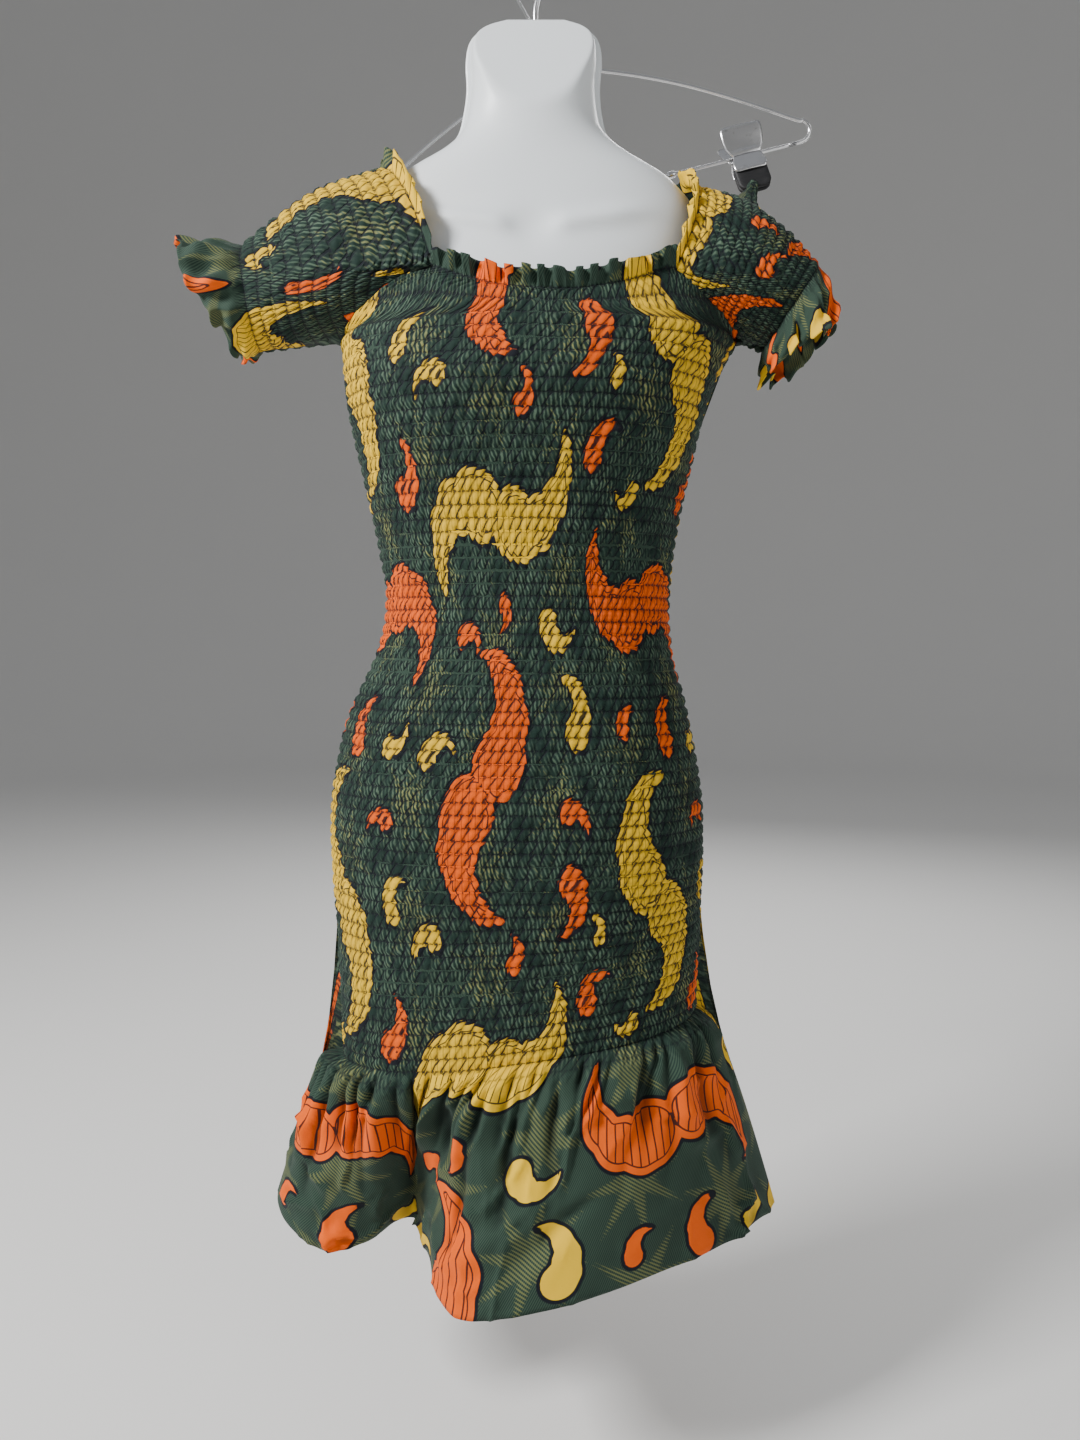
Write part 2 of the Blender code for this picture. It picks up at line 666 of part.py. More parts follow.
def make_hanger(material):
    """Closed wire frame with two bowed arms and a straight bar, joined to its hook."""
    ring = HANGER_END_RADIUS
    bar = -HANGER_BAR_DROP
    top = bar + 2 * ring
    half = []
    for step in range(8):
        share = step / 7
        x = (HANGER_HALF - ring) * share
        bow = HANGER_ARM_BOW * sin(pi * share)
        half.append((x, mix(0.0, top, share) + bow))
    for step in range(1, 5):
        angle = pi / 2 - pi * step / 5
        half.append((HANGER_HALF - ring + ring * cos(angle), bar + ring + ring * sin(angle)))
    half.append((HANGER_HALF - ring, bar))
    path = [hanger_place(x, z) for x, z in half]
    path += [hanger_place(-x, z) for x, z in reversed(half[1:])]
    frame = sweep("hanger_wire", path, HANGER_WIRE / 2, 6, material, closed=True)
    foot = hanger_place(0.0, -0.0005)
    hook = hook_path(foot, -1, HANGER_HOOK_Y, HANGER_WIRE)
    hook.insert(1, foot + Vector((-0.003, -0.010, 0.012)))
    hook.insert(2, Vector((hook[1].x - 0.004, HANGER_HOOK_Y + 0.006, hook[1].z + 0.012)))
    stem = sweep("hanger_hook", hook, HANGER_WIRE / 2, 6, material)
    join = frame.modifiers.new("join_hook", "BOOLEAN")
    join.operation = "UNION"
    join.solver = "EXACT"
    join.object = stem
    stem.hide_render = True
    stem.display_type = "WIRE"
    return frame


def make_clip(clip, chrome, rubber):
    """A sprung clip on the bar: two levers above it, two jaws with pads below."""
    wire = HANGER_WIRE / 2 + TOUCH_GAP
    hub = wire + 0.0022
    profile = [(-hub, -0.003), (-0.0050, -CLIP_JAW), (0.0050, -CLIP_JAW), (hub, -0.003),
               (hub, 0.004), (0.0125, CLIP_LEVER), (0.0105, CLIP_LEVER), (0.0015, 0.0065),
               (-0.0015, 0.0065), (-0.0105, CLIP_LEVER), (-0.0125, CLIP_LEVER), (-hub, 0.004)]
    hole_radius = wire * 1.06
    hole = [(hole_radius * cos(pi * s / 6), hole_radius * sin(pi * s / 6)) for s in range(12)]
    name = clip.name
    place = Matrix.Translation(hanger_place(clip.along_bar, -HANGER_BAR_DROP)) \
        @ Matrix.Rotation(-HANGER_TILT, 4, "Y") @ Matrix.Rotation(-CLIP_LEAN, 4, "X")
    extrude(name, profile, CLIP_WIDTH, place, chrome, hole)
    half = PAD_DEPTH / 2
    low = -CLIP_JAW - TOUCH_GAP
    pads = [(-half, low), (-half, low - PAD_HEIGHT), (half, low - PAD_HEIGHT), (half, low)]
    extrude(name + "_pads", pads, PAD_WIDTH, place, rubber)


def extrude(name, profile, width, place, material, hole=None):
    """A prism along the bar from a profile of (depth, height) corners, with a hole at its axis."""
    mesh = bmesh.new()
    loops = [profile, hole] if hole else [profile]
    ends = [[ring(mesh, x, loop) for loop in loops] for x in (-width / 2, width / 2)]
    for left, right in zip(*ends):
        for s, corner in enumerate(left):
            t = (s + 1) % len(left)
            mesh.faces.new((left[t], corner, right[s], right[t]))
    for loops_at_end in ends:
        if hole:
            outer, inner = (by_angle(loop) for loop in loops_at_end)
            zip_rows(mesh, outer, inner)
        else:
            mesh.faces.new(loops_at_end[0])
    bmesh.ops.recalc_face_normals(mesh, faces=mesh.faces)
    made = add_object(name, mesh, material)
    made.data.shade_flat()
    made.matrix_world = place


def ring(mesh, x, loop):
    return [mesh.verts.new(Vector((x, depth, height))) for depth, height in loop]


def by_angle(loop):
    """A loop round the axis as a row of (angle, vertex) that ends where it starts."""
    row = sorted(((atan2(vertex.co.z, vertex.co.y), vertex) for vertex in loop),
                 key=lambda place: place[0])
    return row + [(row[0][0] + 2 * pi, row[0][1])]


def finish(name, colour, roughness, metallic=0.0):
    material = bpy.data.materials.new(name)
    material.use_nodes = True
    shader = material.node_tree.nodes["Principled BSDF"]
    shader.inputs["Base Color"].default_value = (*colour, 1.0)
    shader.inputs["Roughness"].default_value = roughness
    shader.inputs["Metallic"].default_value = metallic
    return material


def main():
    for existing in list(bpy.data.objects):
        bpy.data.objects.remove(existing)
    wax_print = finish("wax_print", (0.035, 0.075, 0.062), 0.85)
    white_plastic = finish("white_plastic", (0.84, 0.88, 0.90), 0.35)
    chrome = finish("chrome", (0.80, 0.80, 0.82), 0.15, 1.0)
    rubber = finish("rubber", (0.02, 0.02, 0.02), 0.6)
    make_panel("dress_front", -1, wax_print)
    make_panel("dress_back", 1, wax_print)
    for sleeve in SLEEVES:
        make_sleeve(sleeve, wax_print)
    make_form(white_plastic)
    make_form_hook(chrome)
    make_hanger(chrome)
    for clip in CLIPS:
        make_clip(clip, chrome, rubber)


main()
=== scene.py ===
"""Looks of a shirred wax print dress on its hanging form, with a wire clip hanger behind it.

Run as a script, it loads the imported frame, makes each piece and sets the stage. Metres, +Z up,
the front faces -Y, +X to the viewer's right. The origin is the rail that both hooks hang on.
"""

from collections import namedtuple
from math import cos, pi, sin

import bpy
import numpy as np
from mathutils import Matrix, Vector


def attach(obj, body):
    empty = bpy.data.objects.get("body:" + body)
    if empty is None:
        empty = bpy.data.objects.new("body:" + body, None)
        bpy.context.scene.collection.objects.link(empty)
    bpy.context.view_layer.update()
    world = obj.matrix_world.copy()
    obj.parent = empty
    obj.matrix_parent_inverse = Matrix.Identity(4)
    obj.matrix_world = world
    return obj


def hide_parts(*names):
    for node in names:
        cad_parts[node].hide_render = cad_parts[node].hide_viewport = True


bl_info = {
    "name": "Shirred wax print dress",
    "version": (1, 0, 0),
    "blender": (4, 5, 0),
    "location": "3D View > Sidebar > Dress",
    "description": "Shirred printed cloth, hanging form and clip hanger around the packed frame",
    "category": "Object",
}

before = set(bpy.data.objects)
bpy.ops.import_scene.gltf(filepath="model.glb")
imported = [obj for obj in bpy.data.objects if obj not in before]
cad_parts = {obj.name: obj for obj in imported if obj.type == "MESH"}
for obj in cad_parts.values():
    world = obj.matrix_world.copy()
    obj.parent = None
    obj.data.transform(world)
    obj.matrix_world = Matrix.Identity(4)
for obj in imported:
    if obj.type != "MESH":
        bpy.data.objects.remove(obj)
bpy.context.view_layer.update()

# Levels of the dress, at the middle of a panel
FRONT, BACK = -1, 1
NECKLINE_Z = {FRONT: -0.322, BACK: -0.300}
UNDERARM_Z = -0.342
FLOUNCE_Z = -0.962
ELASTIC_ROWS = {FRONT: 60, BACK: 62}
ROW_PITCH = 0.0107

# The neckline rises towards its corners, and the last elastic row slopes
CORNER_RISE = 0.024
CORNER_REACH = 0.095
NECK_MIDDLE = 0.020
END_SLOPE = 0.13
SLOPE_STARTS_Z = -0.780
BACK_ROUND = 4.0

# Steps of this share of a turn never fall into a pattern
GOLDEN = 0.618

# Cloth, before it is gathered and as it lies on the form
FLAT_WIDTH = {FRONT: 0.66, BACK: 0.54}
SLEEVE_FLAT_WIDTH = 0.62
CLOTH = 0.0008
LINING_STANDS_OFF = 0.0004
PUCKERS = 50
COLUMNS = PUCKERS * 6 + 1
STEPS_PER_ROW = 3
ROW_SHIFT = 0.382
PUCKER_LEAN = 0.85
INNER_COLUMNS = 50
LANE_WANDER = 0.22
PANEL_UNEVEN = 0.0009
SLEEVE_UNEVEN = 0.0012

# Points on a curve that is measured for its length
DENSE = 600

# Next to a seam the puckers sink to this share of their height, over this share of the width,
# and the edge turns outwards
SEAM_PUCKER = 0.35
SEAM_FLATTENS = 0.012
SEAM_TURNS_OUT = 1.5

# Frill that stands above the top elastic
FRILL_HEIGHT = 0.0150
FRILL_LEAN = 0.004
FRILL_STEPS = 6
FRILL_FOLDS = 14
SLEEVE_FRILL_FOLDS = 11

# Flounce
FLOUNCE_DROP = 0.200
FLOUNCE_STEPS = 44
FLOUNCE_SPREAD = 0.8
PUCKERS_FADE = 9

# Gathers below the last elastic: each strays by up to this share of their pitch and fans out and
# sways by a share of the width; then length and width at the top and what is added to them
GATHERS = 27
GATHER_STRAYS = 0.33
GATHER_FANS = 0.05
GATHER_SWAYS = 0.006
GATHER_LENGTH, GATHER_LENGTHENS = 0.36, 0.72
GATHER_WIDTH, GATHER_WIDENS = 0.15, 0.30
LONGER_AT_LEFT, SHORTER_AT_RIGHT = 1.1, 0.7

# Inner face of the dress: half width, middle, depth of front and back, squareness
BodyRow = namedtuple("BodyRow", "z half middle front back square")
BODY = (
    BodyRow(-1.010, 0.1630, -0.0060, 0.0970, 0.016, 2.3),
    BodyRow(-0.938, 0.1628, -0.0085, 0.0980, 0.016, 2.3),
    BodyRow(-0.862, 0.1648, -0.0090, 0.1020, 0.016, 2.3),
    BodyRow(-0.800, 0.1680, -0.0100, 0.1050, 0.016, 2.3),
    BodyRow(-0.750, 0.1666, -0.0100, 0.1050, 0.015, 2.3),
    BodyRow(-0.695, 0.1577, -0.0090, 0.1010, 0.014, 2.3),
    BodyRow(-0.658, 0.1474, -0.0070, 0.0970, 0.013, 2.3),
    BodyRow(-0.622, 0.1332, -0.0035, 0.0920, 0.012, 2.3),
    BodyRow(-0.590, 0.1262, -0.0010, 0.0875, 0.012, 2.3),
    BodyRow(-0.560, 0.1257, 0.0000, 0.0860, 0.012, 2.3),
    BodyRow(-0.532, 0.1292, -0.0010, 0.0880, 0.012, 2.3),
    BodyRow(-0.497, 0.1347, -0.0020, 0.0930, 0.012, 2.4),
    BodyRow(-0.461, 0.1421, -0.0015, 0.1010, 0.012, 2.5),
    BodyRow(-0.426, 0.1497, -0.0010, 0.1100, 0.012, 2.6),
    BodyRow(-0.391, 0.1577, 0.0010, 0.1160, 0.012, 2.6),
    BodyRow(-0.357, 0.1670, 0.0075, 0.1080, 0.012, 2.5),
    BodyRow(-0.345, 0.1712, 0.0095, 0.1040, 0.012, 2.4),
    BodyRow(-0.310, 0.1720, 0.0105, 0.0880, 0.012, 2.3),
    BodyRow(-0.270, 0.1680, 0.0105, 0.0740, 0.012, 2.3),
)

# How far out the neckline's corners lie, as a share of the half width, and the raglan's curve
Raglan = namedtuple("Raglan", "left right left_curve right_curve")
RAGLAN = {FRONT: Raglan(0.51, 0.66, 0.62, 1.00), BACK: Raglan(0.60, 0.62, 0.80, 0.80)}

# Hem of the flounce, a row for each lobe and fold; across runs from the left seam to the right
HemRow = namedtuple("HemRow", "across x y z")
HEM = {
    FRONT: (
        HemRow(0.00, -0.238, 0.000, -1.128),
        HemRow(0.08, -0.222, -0.040, -1.134),
        HemRow(0.16, -0.186, -0.064, -1.146),
        HemRow(0.23, -0.150, -0.064, -1.141),
        HemRow(0.29, -0.122, -0.040, -1.134),
        HemRow(0.34, -0.105, -0.010, -1.150),
        HemRow(0.40, -0.090, -0.048, -1.158),
        HemRow(0.46, -0.079, -0.108, -1.152),
        HemRow(0.52, -0.056, -0.144, -1.158),
        HemRow(0.62, -0.004, -0.156, -1.147),
        HemRow(0.72, 0.052, -0.148, -1.138),
        HemRow(0.83, 0.140, -0.106, -1.131),
        HemRow(0.92, 0.196, -0.054, -1.134),
        HemRow(1.00, 0.234, 0.000, -1.140),
    ),
    BACK: (
        HemRow(0.00, -0.238, 0.000, -1.128),
        HemRow(0.11, -0.210, 0.040, -1.138),
        HemRow(0.22, -0.160, 0.060, -1.148),
        HemRow(0.32, -0.116, 0.036, -1.146),
        HemRow(0.43, -0.064, 0.064, -1.152),
        HemRow(0.53, -0.008, 0.052, -1.152),
        HemRow(0.61, 0.034, 0.032, -1.148),
        HemRow(0.71, 0.084, 0.066, -1.152),
        HemRow(0.81, 0.134, 0.046, -1.146),
        HemRow(0.91, 0.192, 0.044, -1.144),
        HemRow(1.00, 0.234, 0.000, -1.140),
    ),
}

# The creases further down are made this much higher than they are listed
CREASE_SCALE = 1.7

# How far the flounce puffs out just below the last elastic
PUFF = 0.0045

# Gathers are deeper on the left than on the right
LEFT_GATHERS = 1.35
RIGHT_GATHERS = 0.80

# Folds this deep, against the cloth so many columns to either side, are in full shade
HOLLOW_DEPTH = 0.0038
HOLLOW_REACH = 9

# Share of a panel's width over which the flounce's folds die out towards the side seams
SEAM_SPREAD = 0.03

# Crumples of the plain cloth: which way they run, how far apart, how high
CRUMPLES = ((0.35, 0.052, 0.0080), (1.15, 0.046, 0.0070), (2.05, 0.058, 0.0080),
            (2.75, 0.040, 0.0056))

# Creases placed one by one: ridges stand out and troughs (negative height) sink in
Crease = namedtuple("Crease", "across down lean length width height")
FLOUNCE_CREASES = {
    FRONT: (
        Crease(0.365, 0.10, 0.02, 0.42, 0.016, 0.0055),
        Crease(0.405, 0.12, 0.03, 0.40, 0.014, -0.0050),
        Crease(0.445, 0.10, 0.05, 0.50, 0.016, 0.0060),
        Crease(0.490, 0.08, 0.05, 0.34, 0.012, -0.0045),
        Crease(0.640, 0.05, -0.02, 0.30, 0.014, 0.0035),
        Crease(0.730, 0.05, 0.05, 0.45, 0.020, -0.0045),
        Crease(0.790, 0.05, 0.06, 0.55, 0.018, 0.0050),
        Crease(0.850, 0.06, 0.05, 0.60, 0.020, -0.0040),
        Crease(0.560, 0.62, -0.10, 0.30, 0.030, 0.0030),
        Crease(0.700, 0.55, -0.14, 0.35, 0.030, -0.0035),
        Crease(0.100, 0.12, -0.03, 0.60, 0.022, 0.0045),
        Crease(0.170, 0.10, -0.02, 0.50, 0.018, -0.0045),
        Crease(0.240, 0.12, 0.00, 0.55, 0.020, 0.0050),
        Crease(0.125, 0.02, -0.02, 0.80, 0.008, -0.0042),
        Crease(0.205, 0.02, -0.01, 0.72, 0.008, -0.0040),
        Crease(0.325, 0.00, -0.01, 0.85, 0.007, -0.0042),
        Crease(0.470, 0.00, 0.02, 0.92, 0.009, -0.0052),
        Crease(0.520, 0.00, 0.04, 0.75, 0.008, -0.0044),
        Crease(0.575, 0.00, 0.05, 0.58, 0.008, -0.0036),
    ),
    BACK: (
        Crease(0.14, 0.06, -0.03, 0.60, 0.022, 0.0040),
        Crease(0.27, 0.06, -0.02, 0.50, 0.018, -0.0045),
        Crease(0.38, 0.08, 0.01, 0.55, 0.020, 0.0050),
        Crease(0.57, 0.06, 0.03, 0.60, 0.020, -0.0045),
        Crease(0.69, 0.08, 0.03, 0.50, 0.018, 0.0045),
        Crease(0.86, 0.06, 0.05, 0.60, 0.022, -0.0040),
    ),
}

# Sleeves: the arch of the neckline over the shoulder, then the cuff's ring and its frill
Sleeve = namedtuple(
    "Sleeve", "end top arch_front arch_back cuff cuff_up cuff_fore frill_way frill_slant "
    "flare bulge top_length under_length pinch")
SLEEVES = {
    "sleeve_left": Sleeve(
        0.0, (-0.133, 0.002, -0.191), (-0.102, -0.070, -0.208), (-0.104, 0.026, -0.214),
        (-0.241, -0.012, -0.304), (-0.005, 0.000, 0.043), (0.000, -0.032, 0.000),
        (-0.056, 0.000, -0.002), 0.66, 0.006, 0.010, 0.130, 0.066, None),
    "sleeve_right": Sleeve(
        1.0, (0.142, 0.004, -0.203), (0.156, -0.066, -0.228), (0.126, 0.026, -0.226),
        (0.2260, -0.032, -0.3200), (0.0200, 0.000, 0.0300), (0.004, -0.033, 0.008),
        (0.009, -0.018, -0.056), 0.62, 0.004, 0.014, 0.150, 0.042,
        (0.2066, 0.0166, -0.1840)),
}
SEAM_SHARE = 0.27
PINCH_PULL = 0.85
PINCH_AROUND = 0.57
PINCH_ALONG = 0.50
PINCH_SPREAD_AROUND = 0.055
PINCH_SPREAD_ALONG = 0.13
UNDERARM_CURL = 0.005
CUFF_STEPS = 26
CUFF_DROP = 0.05
CUFF_FADE = 0.012
CUFF_WAVE_DEPTH = 0.0095
CUFF_FOLDS = 8
CUFF_RIPPLE = 0.45
CUFF_KINK = 0.0030

# Print: curled leaves in pairs and alone, on one repeat of the cloth (metres before gathering)
REPEAT_ACROSS = 0.44
REPEAT_DOWN = 0.46
ORANGE, YELLOW = 0, 1
Scroll = namedtuple("Scroll", "across down turn length curl colour")
SCROLLS = (
    Scroll(0.095, 0.095, 0.85, 0.132, 1, ORANGE),
    Scroll(0.320, 0.195, -0.75, 0.128, -1, YELLOW),
    Scroll(0.095, 0.330, -0.30, 0.130, 1, YELLOW),
    Scroll(0.330, 0.405, 0.30, 0.126, -1, ORANGE),
)
LEAVES = (
    Scroll(0.215, 0.050, 0.90, 0.066, 1, YELLOW),
    Scroll(0.345, 0.060, 2.20, 0.054, -1, ORANGE),
    Scroll(0.205, 0.175, -0.80, 0.066, -1, ORANGE),
    Scroll(0.030, 0.220, 2.60, 0.042, 1, YELLOW),
    Scroll(0.400, 0.310, 0.20, 0.058, 1, ORANGE),
    Scroll(0.225, 0.285, 1.80, 0.050, -1, ORANGE),
    Scroll(0.170, 0.420, -1.20, 0.056, 1, YELLOW),
    Scroll(0.040, 0.430, 0.60, 0.042, -1, ORANGE),
    Scroll(0.410, 0.125, 2.40, 0.038, 1, ORANGE),
    Scroll(0.290, 0.310, -2.00, 0.034, -1, YELLOW),
    Scroll(0.020, 0.070, 1.20, 0.050, -1, YELLOW),
    Scroll(0.130, 0.245, 0.50, 0.036, 1, ORANGE),
    Scroll(0.200, 0.115, 0.40, 0.042, -1, ORANGE),
    Scroll(0.240, 0.225, 1.00, 0.030, 1, YELLOW),
    Scroll(0.402, 0.062, -0.40, 0.040, 1, YELLOW),
    Scroll(0.415, 0.200, 2.00, 0.044, -1, YELLOW),
    Scroll(0.100, 0.402, -0.60, 0.034, -1, ORANGE),
    Scroll(0.278, 0.050, 1.90, 0.036, -1, ORANGE),
)
LEAF_HEAD = 0.235
LEAF_BEND = 0.42
LEAF_SWEEP = 2.3
LEAF_LOBES = 6.0
LOBE_DEPTH = 0.16
PLAIN_INSIDE = 0.0050
BURST_PITCH = 0.095
BURST_RAY = 0.038
BURST_HUB = 0.0115
BURST_TURN = pi / 8

# Lines of the print, in metres on the flat cloth; an edge or a line is faded from and to
OUTLINE_EDGE = (-0.0038, -0.0026)
FILL_EDGE = (-0.0003, 0.0003)
BORDER_INSIDE = 0.0066
BORDER_LINE = (0.0009, 0.0005)
BAR_PITCH = 0.0085
RIB_PITCH = 0.0021
RIB_SLANT = 0.55
RIB_STRENGTH = 0.42
HATCH_PITCH = 0.0036
HATCH_SLANT = 0.8
HATCH_RAGGED = 0.006
BURST_STRENGTH = 0.48
PUCKER_JUMP = 0.0034
ROW_JUMP = 0.0026
THREAD_PITCH = 0.0007

# Painted shadow lines in the creases and dark lines of the elastic threads, in shares of a pucker
# and of a row, and tints of the painted shade beside them and in the flounce's folds
CREASE_SHADOW_LINE = (0.13, 0.06)
THREAD_LINE = (0.095, 0.045)
THREAD_SHIFT = 0.405
PUCKER_SHADE = (0.30, 0.28, 0.30, 1)
FOLD_SHADE = (0.16, 0.17, 0.19, 1)

# Form
FORM_WALL = 0.0025
FORM_CLEARANCE = 0.0007
FORM_EDGE_Y = -0.0010
FORM_END_Z = -0.934
FORM_JOINS_DRESS_Z = -0.420
PLATE_TOP_Z = -0.067
PLATE_SLOPE = 0.475
PLATE_FROM_Z = -0.165
PLATE_EDGE = 0.003
FORM_ROWS = 190
FORM_COLUMNS = 120
FORM_DENSE = 500
COLLAR_MIDDLE = 0.004
COLLAR_Z = -0.262
COLLAR_RISE = 0.20
COLLAR_HEIGHT = 0.0048
COLLAR_WIDTH = 0.008
COLLAR_DIP = 0.0035
COLLAR_DIP_WIDTH = 0.016
FormRow = namedtuple("FormRow", "z half middle front square")
FORM_TOP = (
    FormRow(-0.391, 0.1555, 0.0010, 0.1135, 2.5),
    FormRow(-0.345, 0.1560, 0.0040, 0.0985, 2.3),
    FormRow(-0.305, 0.1570, 0.0050, 0.0820, 2.2),
    FormRow(-0.270, 0.1565, 0.0055, 0.0680, 2.2),
    FormRow(-0.240, 0.1515, 0.0060, 0.0585, 2.2),
    FormRow(-0.218, 0.1395, 0.0045, 0.0530, 2.3),
    FormRow(-0.202, 0.1240, 0.0050, 0.0500, 2.2),
    FormRow(-0.192, 0.1085, 0.0045, 0.0485, 2.1),
    FormRow(-0.182, 0.0895, 0.0050, 0.0475, 2.1),
    FormRow(-0.173, 0.0765, 0.0050, 0.0470, 2.1),
    FormRow(-0.162, 0.0660, 0.0045, 0.0465, 2.2),
    FormRow(-0.148, 0.0615, 0.0045, 0.0465, 2.2),
    FormRow(-0.125, 0.0585, 0.0050, 0.0465, 2.2),
    FormRow(-0.100, 0.0595, 0.0055, 0.0465, 2.2),
    FormRow(-0.083, 0.0560, 0.0060, 0.0450, 2.2),
    FormRow(-0.073, 0.0460, 0.0065, 0.0420, 2.2),
    FormRow(-0.067, 0.0300, 0.0070, 0.0360, 2.2),
)

# Hooks and hanger
HOOK_BOWL = 0.0215
HOOK_STARTS = -0.30 * pi
HOOK_SWEEP = 1.25 * pi
HOOK_STEPS = 12
HOOK_LIP = 0.004
HOOK_LIP_TURNS = 0.002
FORM_HOOK_WIRE = 0.0045
HANGER_WIRE = 0.0032
HANGER_Y = 0.0300
HANGER_HOOK_Y = 0.0060
HANGER_APEX = Vector((0.011, HANGER_Y, -0.087))
HANGER_TILT = 0.239
HANGER_HALF = 0.225
HANGER_BAR_DROP = 0.120
HANGER_END_RADIUS = 0.010
HANGER_ARM_BOW = 0.011
STOPS_ALONG_BAR = (-0.178, 0.092)
Clip = namedtuple("Clip", "name along_bar")
CLIPS = (Clip("clip_left", -0.1040), Clip("clip_right", 0.163))
CLIP_LEAN = 0.36

# Sheet metal of a clip, seen from the side: distance from its middle, height and half width
PlateRow = namedtuple("PlateRow", "depth height half")
LEVER = (
    PlateRow(0.0048, -0.0030, 0.0120),
    PlateRow(0.0050, 0.0020, 0.0150),
    PlateRow(0.0060, 0.0060, 0.0175),
    PlateRow(0.0085, 0.0130, 0.0186),
    PlateRow(0.0108, 0.0190, 0.0189),
    PlateRow(0.0118, 0.0225, 0.0183),
    PlateRow(0.0121, 0.0238, 0.0172),
    PlateRow(0.0122, 0.0244, 0.0150),
)
JAW = (
    PlateRow(0.0048, -0.0010, 0.0120),
    PlateRow(0.0052, -0.0050, 0.0135),
    PlateRow(0.0056, -0.0110, 0.0148),
    PlateRow(0.0056, -0.0160, 0.0150),
    PlateRow(0.0052, -0.0185, 0.0138),
    PlateRow(0.0050, -0.0192, 0.0120),
)
PLATE_THICK = 0.0009
PLATE_CROWN = 0.0006
PLATE_COLUMNS = 16
SPRING_HALF = 0.0085
SPRING_RADIUS = 0.0031
SPRING_WIRE = 0.0006
SPRING_TURNS = 7
SPRING_STEPS = 14

# Rubber pads of a clip, narrower towards their lower end
PAD_MIDDLE = 0.0022
PAD_TOP = -0.0150
PAD_LENGTH = 0.0228
PAD_HALF = 0.0148
PAD_THICK = 0.0034
PAD_ROUND = 0.0012
PAD_RIBS = 6
PAD_RIB_HEIGHT = 0.00035
PAD_NARROWS_Z = -0.0290
PAD_NARROWS_OVER = 0.0092
PAD_ROWS = 24
PAD_COLUMNS = 14

# Camera, as the photograph was taken, and the stage
CAMERA_PLACE = (0.011, -0.962, -0.600)
CAMERA_DOWN = 4.6
LENS_MM = 26.2
SENSOR_MM = 36.0
FLOOR_Z = -1.34
FLOOR_REACH = 9.0
FLOOR_TURN = 4.0
FLOOR_WALL = 9.0
FLOOR_SIDES = 96
FLOOR_TURN_STEPS = 24
SKY_COLOUR = (0.92, 0.95, 1.0, 1)
LIGHTS_AIM = Vector((0, 0, -0.6))
Light = namedtuple("Light", "name place size share")
LIGHTS = (
    Light("key_light", (-1.75, -1.05, 0.75), 0.6, 1.0),
    Light("fill_light", (1.7, -1.6, -0.1), 1.8, 0.14),
    Light("rim_light", (0.6, 2.0, 0.7), 1.4, 0.40),
)


# Settings that a user would change


class ClothSettings(bpy.types.PropertyGroup):
    ground: bpy.props.FloatVectorProperty(
        name="Ground", description="Dark ground of the print", subtype="COLOR", size=4,
        min=0, max=1, default=(0.011, 0.029, 0.022, 1))
    ground_rib: bpy.props.FloatVectorProperty(
        name="Ground ribs", description="Fine lines over the ground", subtype="COLOR", size=4,
        min=0, max=1, default=(0.095, 0.150, 0.100, 1))
    burst: bpy.props.FloatVectorProperty(
        name="Bursts", description="Hatched bursts on the ground", subtype="COLOR", size=4,
        min=0, max=1, default=(0.27, 0.27, 0.085, 1))
    orange: bpy.props.FloatVectorProperty(
        name="Orange leaves", description="Fill of the orange leaves", subtype="COLOR", size=4,
        min=0, max=1, default=(0.93, 0.125, 0.0, 1))
    yellow: bpy.props.FloatVectorProperty(
        name="Yellow leaves", description="Fill of the yellow leaves", subtype="COLOR", size=4,
        min=0, max=1, default=(0.90, 0.56, 0.02, 1))
    # The outline colour also paints the shadow lines in the creases and the elastic threads
    outline: bpy.props.FloatVectorProperty(
        name="Outline", description="Outline, border and hatching of the leaves",
        subtype="COLOR", size=4, min=0, max=1, default=(0.006, 0.008, 0.013, 1))
    pucker_height: bpy.props.FloatProperty(
        name="Pucker height", description="How far the cloth stands out between two elastics",
        unit="LENGTH", min=0.0005, max=0.004, default=0.0024)
    frill_wave: bpy.props.FloatProperty(
        name="Frill wave", description="Depth of the folds of the neckline frill",
        unit="LENGTH", min=0.001, max=0.007, default=0.0060)
    gather_height: bpy.props.FloatProperty(
        name="Gather height", description="Height of the gathers below the last elastic",
        unit="LENGTH", min=0.001, max=0.016, default=0.0098)


class FormSettings(bpy.types.PropertyGroup):
    plastic: bpy.props.FloatVectorProperty(
        name="Plastic", description="Colour of the moulded form", subtype="COLOR", size=4,
        min=0, max=1, default=(0.86, 0.90, 0.92, 1))
    lip_width: bpy.props.FloatProperty(
        name="Lip width", description="Width of the flat lip round the open back",
        unit="LENGTH", min=0.002, max=0.010, default=0.0048)
    lip_thickness: bpy.props.FloatProperty(
        name="Lip thickness", description="Thickness of that lip", unit="LENGTH",
        min=0.001, max=0.004, default=0.0024)


class HangerSettings(bpy.types.PropertyGroup):
    metal: bpy.props.FloatVectorProperty(
        name="Metal", description="Colour of the plated wire and clips", subtype="COLOR",
        size=4, min=0, max=1, default=(0.84, 0.84, 0.85, 1))
    pad: bpy.props.FloatVectorProperty(
        name="Pads", description="Colour of the rubber pads", subtype="COLOR", size=4,
        min=0, max=1, default=(0.006, 0.006, 0.007, 1))


class StageSettings(bpy.types.PropertyGroup):
    floor: bpy.props.FloatVectorProperty(
        name="Floor", description="Colour of the floor", subtype="COLOR", size=4,
        min=0, max=1, default=(0.80, 0.79, 0.77, 1))
    key_power: bpy.props.FloatProperty(
        name="Key light", description="Power of the large soft light", unit="POWER",
        min=0, max=500, default=94)
    sky: bpy.props.FloatProperty(
        name="Sky", description="Strength of the even light from all round", min=0, max=3,
        default=0.29)


# Reading the tables


